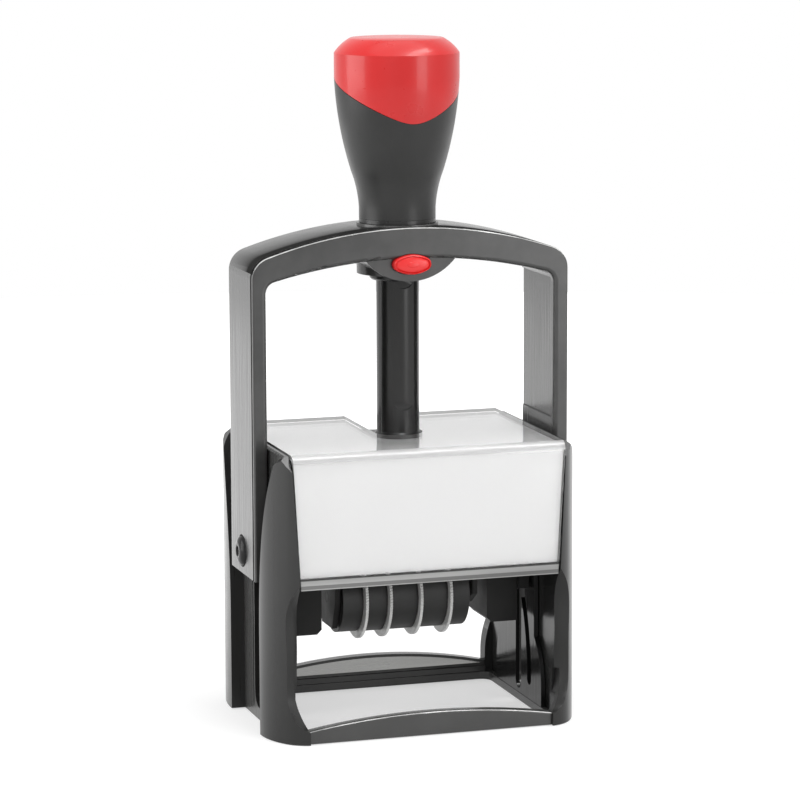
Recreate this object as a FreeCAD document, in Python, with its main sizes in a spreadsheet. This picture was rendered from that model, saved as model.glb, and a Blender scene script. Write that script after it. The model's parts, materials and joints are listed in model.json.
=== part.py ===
import FreeCAD, Part
import math
import os

import Sketcher
from FreeCAD import Placement, Rotation, Vector

# A self-inking date stamp, free standing on its base.
# Millimetres. X runs to the right, Y to the back, Z up. The origin is the centre of the base.
# A column stands on the body. The bridge with the handle slides down it, and the printing
# carrier hangs between the bridge's two arms. On the way down the carrier turns over, led by
# a follower pin in an S-shaped track, so that the inked face lands on the paper.

SIZES = [
    ("imprint_width", 67, "printed area from side to side"),
    ("imprint_depth", 48, "printed area from front to back"),
    ("die_reach", 8, "pivot axis to the printing face"),
    ("pivot_height", 48, "pivot axis above the table at rest"),
    ("flank_room", 1.8, "printed area to the steel side plate"),
    ("plate_thick", 1.2, "steel sheet"),
    ("plate_half_depth", 19, "half the steel frame, front to back"),
    ("plate_waist", 13, "half the steel frame at its waist"),
    ("seat_gap", 0.2, "play between two fixed pieces"),
    ("slide_gap", 0.4, "play between a fixed and a sliding piece"),
    ("pin_gap", 0.06, "radial play of a pin in its bore"),
    ("shell_wall", 3.7, "side shell under the arm's channel"),
    ("channel_depth", 3.9, "depth of the arm's channel in the side shell"),
    ("window_margin", 2.0, "printed area to the edge of the base window, front and rear"),
    ("ring_ledge", 1.2, "base ring inside the bars"),
    ("bar_thick", 3.0, "front and rear bar, front to back"),
    ("foot_proud", 1.07, "foot in front of the bar, at their seam"),
    ("seam_inset", 2.2, "side shell's inner wall to the seam between foot and bar"),
    ("channel_half", 15.15, "half the arm channel at the table"),
    ("channel_top_half", 25.5, "half the arm channel at the cover"),
    ("channel_straight", 27, "height up to which the channel is straight"),
    ("front_corner", 9.4, "outer corner of a front foot"),
    ("front_side_curve", 20, "outer side of a front pillar"),
    ("rear_corner", 7.8, "outer corner of a rear foot"),
    ("rear_side_curve", 45, "outer side of a rear pillar"),
    ("foot_height", 3.5, "straight part of a front foot"),
    ("foot_blend", 11.5, "height over which a front foot runs into its pillar"),
    ("pillar_setback", 4.6, "bar's front face to the inner edge of a front pillar"),
    ("pillar_curve", 8, "hollowed inner face of a front pillar"),
    ("rear_foot_height", 7.5, "straight part of a rear foot"),
    ("rear_foot_blend", 10.5, "height over which a rear foot runs into its pillar"),
    ("brow_depth", 3.7, "slanted facet on a pillar's top, front to back"),
    ("brow_height", 4.2, "slanted facet on a pillar's top, up and down"),
    ("slot_margin", 1.9, "side shell's slot beyond the steel frame's, on each side"),
    ("ring_height", 2.2, "base ring"),
    ("window_corner", 3, "rear corner of the base window"),
    ("front_bar_end", 3.5, "front bar's height at its ends"),
    ("front_bar_middle", 6.4, "front bar's height in the middle"),
    ("rear_bar_end", 5.2, "rear bar's height at its ends"),
    ("rear_bar_middle", 9.2, "rear bar's height in the middle"),
    ("cover_rise", 13.3, "steel frame's top to the top of the clear cover"),
    ("cover_height", 36.6, "clear cover from top to lower edge"),
    ("cover_wall", 1.0, "clear cover"),
    ("cover_gap", 0.25, "play between cover and side shell"),
    ("cover_flare", 2.05, "cover's side edge, outwards from bottom to top"),
    ("cover_setback", 0.5, "bar's front face to the front of the cover"),
    ("cover_rear_setback", 0.8, "bar's rear face to the rear edge of the cover"),
    ("cover_round", 2.6, "rounding of the cover's front top edge"),
    ("card_thick", 0.4, "index card"),
    ("card_gap", 0.1, "play of the index card under the cover"),
    ("card_inset", 0.15, "index card inside the cover's edges"),
    ("card_round", 1.8, "fold of the index card"),
    ("card_margin", 3.1, "clear strip under the card"),
    ("arm_thick", 4.0, "bridge arm from side to side"),
    ("arm_half_depth", 13.45, "half the bridge from front to back"),
    ("arm_tail", 6.2, "pivot axis to the lower end of the arms"),
    ("arm_length", 88.6, "pivot axis to the top of the bridge's arch"),
    ("arch_outer", 126, "outer radius of the arch"),
    ("arch_depth", 8.4, "top of the arch to its underside, in the middle"),
    ("arch_inner", 149, "inner radius of the arch"),
    ("bridge_corner", 6.2, "outer corner of the bridge"),
    ("bridge_inner_corner", 3.2, "inner corner of the bridge"),
    ("bridge_front_round", 0.5, "rounding of the bridge's outer front edge"),
    ("bridge_rear_round", 2.6, "rounding of the bridge's outer rear edge"),
    ("bridge_inner_round", 1.2, "rounding of the finger opening's edges"),
    ("groove_setback", 0.9, "front face to the groove round the bridge"),
    ("groove_width", 1.2, "groove round the bridge"),
    ("groove_depth", 0.8, "groove round the bridge"),
    ("recess_depth", 0.5, "hollow in the inner face of an arm"),
    ("recess_border", 2.6, "arm's front edge to that hollow"),
    ("column_radius", 5.9, "column"),
    ("column_bore", 4.3, "bore of the column"),
    ("column_rise", 2.4, "top of the bridge to the top of the column"),
    ("flange_radius", 11, "foot flange of the column"),
    ("flange_thick", 2, "foot flange of the column"),
    ("bush_wall", 1.7, "guide bush of the bridge"),
    ("bush_drop", 15.4, "top of the bridge to the lower end of the guide bush"),
    ("hub_radius", 11.2, "hub of the bridge round the bush"),
    ("hub_proud", 0.3, "seat of the handle above the bridge"),
    ("boss_front", 12.2, "middle to the front of the button boss"),
    ("boss_drop", 14.8, "top of the bridge to the lower end of the button boss"),
    ("boss_curve", 16.5, "radius of the boss's lower edge"),
    ("boss_crown_drop", 5.1, "top of the bridge to the upper end of the button boss"),
    ("boss_crown_curve", 30, "radius of the boss's upper edge"),
    ("button_drop", 10, "top of the bridge to the middle of the lock button"),
    ("button_half_width", 5.3, "half the lock button, side to side"),
    ("button_half_height", 2.75, "half the lock button, up and down"),
    ("button_end", 1.9, "round end of the lock button"),
    ("button_proud", 2.4, "lock button in front of its boss"),
    ("button_travel", 1.8, "travel of the lock button"),
    ("neck_radius", 10.5, "handle at its neck"),
    ("knob_radius", 17.1, "handle at its head"),
    ("crown_radius", 12.7, "flat top of the handle"),
    ("crown_drop", 4.0, "flat top down to the handle's full width"),
    ("crown_curve", 12, "shoulder of the handle"),
    ("collar_thick", 1.2, "ring under the handle"),
    ("handle_length", 48.9, "handle above its ring"),
    ("core_drop", 21.9, "top of the handle to the top of the tube in the grip"),
    ("plunger_drop", 6, "handle's top to the plunger's head"),
    ("cap_front_drop", 24.1, "top of the handle to the seam of grip and cap at the front"),
    ("cap_apex_reach", 16.2, "middle of the handle to that curve's lower end"),
    ("cap_back_drop", 7, "top of the handle to that seam at the back"),
    ("pad_thick", 6, "ink pad"),
    ("cassette_floor", 1.6, "roof of the pad cassette"),
    ("cassette_rim", 5.3, "depth of the cassette's rim"),
    ("wheel_drop", 14.6, "pivot axis to the thumbwheels' axle"),
    ("wheel_radius", 12.0, "thumbwheel over its teeth"),
    ("wheel_disc", 0.8, "thumbwheel's toothed disc"),
    ("wheel_teeth", 96, "teeth of a thumbwheel"),
    ("tooth_depth", 0.4, "height of those teeth"),
    ("date_left_reach", 19.0, "middle to the left end of the date unit"),
    ("date_right_reach", 18.5, "middle to the right end of the date unit"),
    ("spacer_width", 5.8, "filler sleeve beside the first thumbwheel"),
    ("first_pitch", 6.9, "first thumbwheel to the second"),
    ("second_pitch", 8.8, "second thumbwheel to the third"),
    ("third_pitch", 8.6, "third thumbwheel to the fourth"),
    ("drum_radius", 10.1, "date band round its drum"),
    ("band_thick", 1.5, "date band"),
    ("nose_radius", 1.5, "bar that the date bands turn round"),
    ("axle_radius", 1.5, "thumbwheels' axle"),
    ("pivot_radius", 2.0, "axle screw of an arm"),
    ("screw_head_radius", 4.2, "head of the axle screw"),
    ("screw_head_proud", 1.4, "head of the axle screw in front of the arm"),
    ("counterbore", 1.0, "depth of the screw's counterbore"),
    ("follower_radius", 1.5, "follower pin"),
    ("block_drop", 23.2, "pivot axis to the end blocks' lower face"),
    ("block_half_depth", 8, "half an end block, front to back"),
    ("block_inner", 24.6, "middle to the left end block"),
    ("block_shift", 1.4, "right end block nearer to the middle"),
    ("spring_wire", 0.5, "wire radius of the return spring"),
    ("spring_turns", 9, "turns of the return spring"),
]


class Dim:
    """A length: its number and the spreadsheet expression that gives it."""

    def __init__(self, number, text):
        self.number = float(number)
        self.text = text

    def __float__(self):
        return self.number

    def __add__(self, other):
        other = as_dim(other)
        return Dim(self.number + other.number, "(%s + %s)" % (self.text, other.text))

    def __sub__(self, other):
        other = as_dim(other)
        return Dim(self.number - other.number, "(%s - %s)" % (self.text, other.text))

    def __mul__(self, other):
        other = as_dim(other)
        return Dim(self.number * other.number, "(%s * %s)" % (self.text, other.text))

    def __truediv__(self, other):
        other = as_dim(other)
        return Dim(self.number / other.number, "(%s / %s)" % (self.text, other.text))

    def __neg__(self):
        return Dim(-self.number, "(-1 * %s)" % self.text)

    __radd__ = __add__
    __rmul__ = __mul__

    def __rsub__(self, other):
        return as_dim(other) - self


def as_dim(value):
    """A plain number as a Dim."""
    return value if isinstance(value, Dim) else Dim(value, repr(float(value)))


def root(value):
    """Square root of a Dim."""
    return Dim(math.sqrt(value.number), "sqrt(%s)" % value.text)


def fill_sheet(document):
    """Write SIZES into the spreadsheet and return its Dims by name."""
    sheet = document.addObject("Spreadsheet::Sheet", "Sizes")
    dims = {}
    for row, (alias, value, meaning) in enumerate(SIZES, start=1):
        sheet.set("A%d" % row, alias)
        sheet.set("B%d" % row, repr(value))
        sheet.set("C%d" % row, meaning)
        sheet.setAlias("B%d" % row, alias)
        dims[alias] = Dim(value, "Sizes." + alias)
    document.recompute()
    return dims


doc = FreeCAD.newDocument("date_stamp")
size = fill_sheet(doc)
parts = []

# Places that several pieces share.
stroke = size["pivot_height"] - size["die_reach"]
follower_arm = stroke * 0.225
die_half_width = size["imprint_width"] / 2
die_half_depth = size["imprint_depth"] / 2
plate_in = die_half_width + size["flank_room"]
plate_out = plate_in + size["plate_thick"]
shell_in = plate_out + size["seat_gap"]
channel_floor = shell_in + size["shell_wall"]
arm_in = channel_floor + size["slide_gap"]
arm_out = arm_in + size["arm_thick"]
body_half_width = channel_floor + size["channel_depth"]
window_half_depth = die_half_depth + size["window_margin"]
bar_in = window_half_depth + size["ring_ledge"]
body_half_depth = bar_in + size["bar_thick"]
foot_reach = body_half_depth + size["foot_proud"]
seam_half_width = shell_in - size["seam_inset"]
cover_front = body_half_depth - size["cover_setback"]
cover_rear = body_half_depth - size["cover_rear_setback"]
cover_half_bottom = shell_in - size["cover_gap"]
cover_half_top = cover_half_bottom + size["cover_flare"]
pad_face = size["pivot_height"] + size["die_reach"] + 0.3
pad_top = pad_face + size["pad_thick"]
cassette_top = pad_top + size["cassette_floor"]
frame_top_low = cassette_top + 0.3
frame_top = frame_top_low + size["plate_thick"]
flange_top = frame_top + size["flange_thick"]
cover_top = frame_top + size["cover_rise"]
cover_bottom = cover_top - size["cover_height"]
cover_inside = cover_top - size["cover_wall"]
card_top = cover_inside - size["card_gap"]
card_bottom = card_top - size["card_thick"]
housing_top = card_bottom - size["card_gap"]
shell_top = cover_top - 0.4
screw_head = 1.4
cheek_out = plate_in - size["slide_gap"]
cheek_in = cheek_out - 3
bush_bore = size["column_radius"] + 0.08
bush_out = bush_bore + size["bush_wall"]
wheel_height = size["pivot_height"] - size["wheel_drop"]
slot_half = size["pivot_radius"] + 0.3
slot_low = size["die_reach"] - size["pivot_radius"] - 2.6
slot_high = size["pivot_height"] + size["pivot_radius"] + 0.6
follower_gap = size["follower_radius"] + 0.15
runner_top = pad_top - size["cassette_rim"] - size["seat_gap"] - 0.1
deck_high = size["pivot_height"] + size["die_reach"] - 3
deck_low = deck_high - 2
text_plate_top = deck_high + 0.8
bridge_top = size["pivot_height"] + size["arm_length"]
bridge_underside = bridge_top - size["arch_depth"]
arm_bottom = size["pivot_height"] - size["arm_tail"]
column_top = bridge_top + size["column_rise"]
bush_bottom = bridge_top - size["bush_drop"]
hub_top = bridge_top + size["hub_proud"]
boss_bottom = bridge_top - size["boss_drop"]
boss_crown = bridge_top - size["boss_crown_drop"]
button_height = bridge_top - size["button_drop"]
neck_bottom = hub_top + size["collar_thick"]
handle_top = neck_bottom + size["handle_length"]
cap_apex = handle_top - size["cap_front_drop"]
cap_back = handle_top - size["cap_back_drop"]
core_top = handle_top - size["core_drop"]
date_left = -size["date_left_reach"]
date_right = size["date_right_reach"]


def new_body(label):
    """A PartDesign body that becomes the node LABEL."""
    body = doc.addObject("PartDesign::Body", label)
    body.Label = label
    parts.append(body)
    return body


NORMAL_SIGN = {"XY_Plane": 1, "XZ_Plane": -1, "YZ_Plane": 1}


def new_sketch(body, plane, low):
    """A sketch on one of the body's own origin planes, moved to LOW along the world axis."""
    sketch = body.newObject("Sketcher::SketchObject", body.Label + "_sketch")
    support = next(f for f in body.Origin.OriginFeatures if f.Role == plane)
    sketch.AttachmentSupport = [(support, "")]
    sketch.MapMode = "FlatFace"
    offset = as_dim(low) * NORMAL_SIGN[plane]
    sketch.AttachmentOffset = Placement(Vector(0, 0, float(offset)), Rotation())
    sketch.setExpression("AttachmentOffset.Base.z", offset.text)
    return sketch


class Arc:
    """An edge of an outline that is a round, outwards or inwards of the outline."""

    def __init__(self, radius, outwards=True):
        self.radius = as_dim(radius)
        self.outwards = outwards


def arc_middle(start, end, arc):
    """Middle point of the round from START to END of an outline drawn anticlockwise."""
    chord = end - start
    half = chord.Length / 2
    rise = float(arc.radius) - math.sqrt(float(arc.radius) ** 2 - half ** 2)
    side = Vector(chord.y, -chord.x, 0).normalize()
    return (start + end) * 0.5 + side * (rise if arc.outwards else -rise)


def draw_outline(sketch, corners, arcs=None):
    """Draw a closed outline anticlockwise. ARCS maps a corner's number to the Arc after it."""
    arcs = arcs or {}
    points = [Vector(float(x), float(y), 0) for x, y in corners]
    first = sketch.GeometryCount
    starts = []
    for number, start in enumerate(points):
        end = points[(number + 1) % len(points)]
        if number in arcs:
            edge = Part.Arc(start, arc_middle(start, end, arcs[number]), end)
        else:
            edge = Part.LineSegment(start, end)
        place = sketch.addGeometry(edge, False)
        starts.append(1 if (sketch.getPoint(place, 1) - start).Length < 1e-6 else 2)
    for number, (x, y) in enumerate(corners):
        place = first + number
        after = (number + 1) % len(points)
        sketch.addConstraint(
            Sketcher.Constraint("Coincident", place, 3 - starts[number], first + after, starts[after]))
        for kind, value in (("DistanceX", as_dim(x)), ("DistanceY", as_dim(y))):
            bind(sketch, Sketcher.Constraint(kind, -1, 1, place, starts[number], float(value)), value)
    for number, arc in arcs.items():
        bind(sketch, Sketcher.Constraint("Radius", first + number, float(arc.radius)), arc.radius)


def mirrored(corners, arcs=None):
    """An outline and its rounds, mirrored left to right."""
    arcs = arcs or {}
    last = len(corners) - 1
    flipped = [(-x, y) for x, y in reversed(corners)]
    return flipped, {(last - 1 - number) % len(corners): arc for number, arc in arcs.items()}


def draw_sided(sketch, side, corners, arcs=None):
    """Draw an outline as given for SIDE 1, or mirrored for SIDE -1."""
    if side < 0:
        corners, arcs = mirrored(corners, arcs)
    draw_outline(sketch, corners, arcs)


def bind(sketch, constraint, value):
    """Add a constraint whose value the sheet gives."""
    index = sketch.addConstraint(constraint)
    name = "size_%d" % index
    sketch.renameConstraint(index, name)
    sketch.setExpression("Constraints." + name, value.text)


def draw_box(sketch, x_low, x_high, y_low, y_high):
    """Draw a rectangle."""
    draw_outline(sketch, [(x_low, y_low), (x_high, y_low), (x_high, y_high), (x_low, y_high)])


def draw_circle(sketch, x, y, radius):
    """Draw a circle."""
    x, y, radius = as_dim(x), as_dim(y), as_dim(radius)
    centre = Vector(float(x), float(y), 0)
    place = sketch.addGeometry(Part.Circle(centre, Vector(0, 0, 1), float(radius)), False)
    bind(sketch, Sketcher.Constraint("DistanceX", -1, 1, place, 3, float(x)), x)
    bind(sketch, Sketcher.Constraint("DistanceY", -1, 1, place, 3, float(y)), y)
    bind(sketch, Sketcher.Constraint("Radius", place, float(radius)), radius)


def draw_long_hole(sketch, x, y_low, y_high, half_width):
    """Draw an upright hole with round ends, whose ends reach Y_LOW and Y_HIGH."""
    left, right = as_dim(x) - half_width, as_dim(x) + half_width
    low, high = as_dim(y_low) + half_width, as_dim(y_high) - half_width
    middle = as_dim(x)
    corners = [(middle, y_low), (right, low), (right, high), (middle, y_high),
               (left, high), (left, low)]
    quarter = Arc(half_width)
    draw_outline(sketch, corners, {0: quarter, 2: quarter, 3: quarter, 5: quarter})


def extrude(body, plane, low, high, draw, cut=False):
    """Pad or pocket what DRAW puts in a sketch, from LOW to HIGH along the world axis."""
    low, high = as_dim(low), as_dim(high)
    sketch = new_sketch(body, plane, low)
    draw(sketch)
    kind = "PartDesign::Pocket" if cut else "PartDesign::Pad"
    before = 0.0 if body.Tip is None else body.Shape.Volume
    feature = body.newObject(kind, body.Label + ("_pocket" if cut else "_pad"))
    feature.Profile = sketch
    feature.setExpression("Length", (high - low).text)
    feature.Reversed = (NORMAL_SIGN[plane] < 0) != cut
    doc.recompute()
    after = feature.Shape.Volume
    if not (0 < after < before if cut else after > before):
        raise RuntimeError("%s: %s changes nothing" % (body.Label, feature.Name))
    return feature


def pad(body, plane, low, high, draw):
    """Add an extrusion to the body."""
    return extrude(body, plane, low, high, draw)


def pocket(body, plane, low, high, draw):
    """Cut an extrusion out of the body."""
    return extrude(body, plane, low, high, draw, cut=True)


def revolve(body, draw, cut=False):
    """Turn what DRAW puts in an XZ sketch round the Z axis."""
    sketch = new_sketch(body, "XZ_Plane", 0)
    draw(sketch)
    kind = "PartDesign::Groove" if cut else "PartDesign::Revolution"
    feature = body.newObject(kind, body.Label + ("_groove" if cut else "_revolution"))
    feature.Profile = sketch
    feature.ReferenceAxis = (sketch, ["V_Axis"])
    feature.Angle = 360
    doc.recompute()
    return feature


def loft_cut(body, levels, draw):
    """Cut a smooth loft out of the body through the outline that DRAW gives at each level."""
    sketches = []
    for level in levels:
        sketch = new_sketch(body, "XY_Plane", level)
        draw(sketch, len(sketches))
        sketches.append(sketch)
    before = body.Shape.Volume
    feature = body.newObject("PartDesign::SubtractiveLoft", body.Label + "_loft")
    feature.Profile = sketches[0]
    feature.Sections = sketches[1:]
    doc.recompute()
    if feature.Shape.Volume >= before:
        raise RuntimeError("%s: %s changes nothing" % (body.Label, feature.Name))
    return feature


def round_edges(body, radius, test, kind="PartDesign::Fillet"):
    """Round or chamfer the edges of the body's last feature for which TEST is true."""
    base = body.Tip
    names = ["Edge%d" % (number + 1) for number, edge in enumerate(base.Shape.Edges) if test(edge)]
    if not names:
        raise RuntimeError("%s: no edge to round" % body.Label)
    feature = body.newObject(kind, body.Label + "_edge")
    feature.Base = (base, names)
    length = "Radius" if kind == "PartDesign::Fillet" else "Size"
    feature.setExpression(length, as_dim(radius).text)
    doc.recompute()
    if feature.Shape.isNull():
        raise RuntimeError("%s: the edge rounding failed" % body.Label)
    return feature


def place_at(thing, x, y, z):
    """Bind a primitive's position to the sheet."""
    for axis, value in (("x", x), ("y", y), ("z", z)):
        thing.setExpression("Placement.Base." + axis, as_dim(value).text)


def box(name, x_low, x_high, y_low, y_high, z_low, z_high):
    """A box between its faces."""
    thing = doc.addObject("Part::Box", name)
    thing.setExpression("Length", (as_dim(x_high) - x_low).text)
    thing.setExpression("Width", (as_dim(y_high) - y_low).text)
    thing.setExpression("Height", (as_dim(z_high) - z_low).text)
    place_at(thing, x_low, y_low, z_low)
    return thing


TURN = {"x": Rotation(Vector(0, 1, 0), 90), "y": Rotation(Vector(1, 0, 0), -90), "z": Rotation()}


def rod(name, axis, radius, low, high, centre):
    """A round bar along AXIS from LOW to HIGH, CENTRE being its two other coordinates."""
    thing = doc.addObject("Part::Cylinder", name)
    thing.Placement = Placement(Vector(), TURN[axis])
    thing.setExpression("Radius", as_dim(radius).text)
    thing.setExpression("Height", (as_dim(high) - low).text)
    places = {"x": (low, centre[0], centre[1]), "y": (centre[0], low, centre[1]),
              "z": (centre[0], centre[1], low)}
    place_at(thing, *places[axis])
    return thing


def cone(name, axis, low_radius, high_radius, low, high, centre):
    """A tapered round bar along AXIS."""
    thing = doc.addObject("Part::Cone", name)
    thing.Placement = Placement(Vector(), TURN[axis])
    thing.setExpression("Radius1", as_dim(low_radius).text)
    thing.setExpression("Radius2", as_dim(high_radius).text)
    thing.setExpression("Height", (as_dim(high) - low).text)
    places = {"x": (low, centre[0], centre[1]), "y": (centre[0], low, centre[1]),
              "z": (centre[0], centre[1], low)}
    place_at(thing, *places[axis])
    return thing


def fuse(name, *things):
    """Join several solids."""
    joined = doc.addObject("Part::MultiFuse", name)
    joined.Shapes = list(things)
    joined.Refine = True
    return joined


def cut(name, base, tool):
    """Take TOOL out of BASE."""
    result = doc.addObject("Part::Cut", name)
    result.Base = base
    result.Tool = tool
    result.Refine = True
    return result


def node(thing, label):
    """Make a finished object the node LABEL."""
    thing.Label = label
    parts.append(thing)
    return thing


def feature(label, shape):
    """A piece whose shape is worked out here from the sheet's numbers."""
    thing = doc.addObject("Part::Feature", label)
    thing.Shape = shape
    return node(thing, label)


# Body: base ring, front bar, side shells, steel frame, top housing


def build_base_frame():
    """Ring round the base window, with the arched rear bar moulded on."""
    body = new_body("base_frame")
    pad(body, "XY_Plane", 0, size["ring_height"],
        lambda s: draw_box(s, -shell_in, shell_in, -bar_in, bar_in))
    pocket(body, "XY_Plane", 0, size["ring_height"],
           lambda s: draw_box(s, 0.2 - plate_in, plate_in - 0.2, -window_half_depth, window_half_depth))
    round_edges(body, size["window_corner"], is_rear_window_corner)
    pad(body, "XZ_Plane", bar_in, body_half_depth,
        lambda s: draw_arch_bar(s, size["rear_bar_end"], size["rear_bar_middle"]))
    ledge = size["ring_height"] + 1.6
    pad(body, "XZ_Plane", bar_in - 0.8, bar_in,
        lambda s: draw_box(s, -seam_half_width, seam_half_width, size["ring_height"], ledge))


def is_rear_window_corner(edge):
    """True for an upright edge at a rear corner of the base window."""
    span = edge.BoundBox
    upright = span.XLength < 1e-4 and span.YLength < 1e-4
    return upright and abs(span.YMin - float(window_half_depth)) < 1e-4


def draw_arch_bar(sketch, end_height, middle_height):
    """Outline of a bar whose top is a shallow arch."""
    half = seam_half_width
    rise = middle_height - end_height
    curve = (half * half + rise * rise) / (rise * 2)
    draw_outline(sketch, [(-half, 0), (half, 0), (half, end_height), (-half, end_height)],
                 {2: Arc(curve)})


def build_front_bar():
    """Arched bar between the two front feet."""
    body = new_body("front_bar")
    pad(body, "XZ_Plane", -body_half_depth, -bar_in,
        lambda s: draw_arch_bar(s, size["front_bar_end"], size["front_bar_middle"]))


def draw_shell_plan(sketch, side):
    """Plan of a side shell: flat inside, rounded feet, the rear one squarer than the front one."""
    front_shoulder = (body_half_width - 3.9, 3.7 - foot_reach)
    rear_shoulder = (body_half_width - 1.0, foot_reach - 5.5)
    corners = [(shell_in, -bar_in), (seam_half_width, -bar_in), (seam_half_width, -foot_reach),
               front_shoulder, (body_half_width, -size["channel_half"]),
               (body_half_width, size["channel_half"]), rear_shoulder,
               (seam_half_width, foot_reach), (seam_half_width, bar_in), (shell_in, bar_in)]
    draw_sided(sketch, side, corners, {
        2: Arc(size["front_corner"]), 3: Arc(size["front_side_curve"]),
        5: Arc(size["rear_side_curve"]), 6: Arc(size["rear_corner"])})


def build_side_shell(label, side):
    """Side shell: front and rear pillar on one wall, with the arm's channel between them."""
    body = new_body(label)
    outer = body_half_width
    pad(body, "XY_Plane", 0, shell_top, lambda s: draw_shell_plan(s, side))
    deep = foot_reach + 1
    pocket(body, "XZ_Plane", -deep, -bar_in,
           lambda s: draw_toe(s, side, size["foot_height"], size["foot_blend"]))
    loft_cut(body, pillar_levels(), lambda s, number: draw_pillar_hollow(s, side, number))
    pocket(body, "XZ_Plane", bar_in, deep,
           lambda s: draw_toe(s, side, size["rear_foot_height"], size["rear_foot_blend"]))
    pocket(body, "YZ_Plane", *span_on(side, channel_floor, outer + 1), draw_channel)
    pocket(body, "XZ_Plane", -deep, deep, lambda s: draw_shell_shoulder(s, side))
    pocket(body, "XZ_Plane", -deep, deep, lambda s: draw_cover_seat(s, side))
    for end in (-1, 1):
        pocket(body, "YZ_Plane", *span_on(side, shell_in - 1, outer + 1), lambda s: draw_brow(s, end))
    half = slot_half + size["slot_margin"]
    pocket(body, "YZ_Plane", *span_on(side, shell_in - 1, channel_floor + 1),
           lambda s: draw_long_hole(s, 0, slot_low, slot_high + 1, half))
    for place in (-half - 1.4, half + 1.4):
        pocket(body, "YZ_Plane", *span_on(side, channel_floor - 0.4, channel_floor + 1),
               lambda s: draw_long_hole(s, place, slot_low, slot_high, 0.4))


def span_on(side, low, high):
    """From LOW to HIGH along X on the right side, or their mirror image on the left."""
    return (low, high) if side > 0 else (-high, -low)


# How a front foot runs into its pillar: share of the blend's height, then how far the inner
# edge and the outer crest of the hollow have gone from their place on the foot.
FOOT_STEPS = ((0, 0, 0), (0.14, 0.1, 0.42), (0.35, 0.3, 0.78), (0.66, 0.7, 1), (1, 1, 1))
# How the hollow runs out under the cover: share of the height, share of the way.
BROW_STEPS = ((0, 0), (0.33, 0.26), (0.67, 0.74), (1, 1))
BROW_BELOW, BROW_ABOVE = 6.1, 4.9


def pillar_levels():
    """Heights of the sections through the hollow of a front pillar."""
    foot = [size["foot_height"] + size["foot_blend"] * step[0] for step in FOOT_STEPS]
    low = cover_bottom - BROW_BELOW
    brow = [low + (BROW_BELOW + BROW_ABOVE) * step[0] for step in BROW_STEPS]
    return foot + [(foot[-1] + low) / 2] + brow


def draw_pillar_hollow(sketch, side, number):
    """Plan of what the hollow takes off the inner front corner of a pillar at one level."""
    steps = [step[1:] + (0,) for step in FOOT_STEPS] + [(1, 1, 0)]
    steps += [(1, 1, step[1]) for step in BROW_STEPS]
    inner_share, crest_share, brow_share = steps[number]
    inner_y, crest_y = size["pillar_setback"] - body_half_depth, 2 - body_half_depth
    inner = between((seam_half_width - 0.2, 0.7 - body_half_depth), (shell_in - 0.3, inner_y), inner_share)
    crest = between((seam_half_width + 0.4, -foot_reach - 0.6), (body_half_width - 2.9, crest_y), crest_share)
    inner = between(inner, (shell_in - 0.3, -foot_reach - 0.1), brow_share)
    crest = between(crest, (shell_in + 1.3, -foot_reach - 1.1), brow_share)
    near, clear = seam_half_width - 1, -foot_reach - 3
    draw_sided(sketch, side, [(near, clear), (crest[0], clear), crest, inner, (near, inner[1])],
               {2: Arc(size["pillar_curve"], False)})


def between(start, end, share):
    """Point at a share of the way from START to END."""
    return tuple(as_dim(a) + (as_dim(b) - a) * share for a, b in zip(start, end))


def draw_toe(sketch, side, low, blend):
    """Front view of what is hollowed out between a foot's toe and its pillar."""
    reach = size["seam_inset"]
    curve = (blend * blend + reach * reach) / (reach * 2)
    near, roof = seam_half_width - 1, shell_top + 1
    draw_sided(sketch, side, [(near, low), (seam_half_width, low), (shell_in, low + blend), (shell_in, roof),
                              (near, roof)], {1: Arc(curve, False)})


def draw_brow(sketch, end):
    """Side view of the facet that slants down to the front, or back, on a pillar's top."""
    roof = cover_top + 1
    draw_sided(sketch, end, [
        (cover_front, shell_top - size["brow_height"]), (foot_reach + 1, shell_top - size["brow_height"] - 1.5),
        (foot_reach + 1, roof), (cover_front - size["brow_depth"], roof),
        (cover_front - size["brow_depth"], shell_top)])


def draw_channel(sketch):
    """Side view of the arm's channel, which widens upwards."""
    low, high = size["channel_half"], size["channel_top_half"]
    knee, top = size["channel_straight"], cover_top
    draw_outline(sketch, [(-low, -1), (low, -1), (low, knee), (high, top), (-high, top), (-low, knee)],
                 {2: Arc(130, False), 4: Arc(130, False)})


def draw_shell_shoulder(sketch, side):
    """Front view of what the rounded shoulder takes off the shell's outer top edge."""
    outer, top = body_half_width, shell_top
    draw_sided(sketch, side, [(outer + 1, top - 9.5), (outer + 1, top + 1), (outer - 4.6, top + 1),
                              (outer - 4.6, top), (outer, top - 9.5)], {3: Arc(11, False)})


def draw_cover_seat(sketch, side):
    """Front view of the wedge that the clear cover fills between the two shells."""
    gap = size["cover_gap"]
    low, near = cover_bottom - gap, shell_in - 2.5
    draw_sided(sketch, side, [(near, low), (cover_half_bottom + gap, low),
                              (cover_half_top + gap, cover_top), (near, cover_top)])


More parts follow.
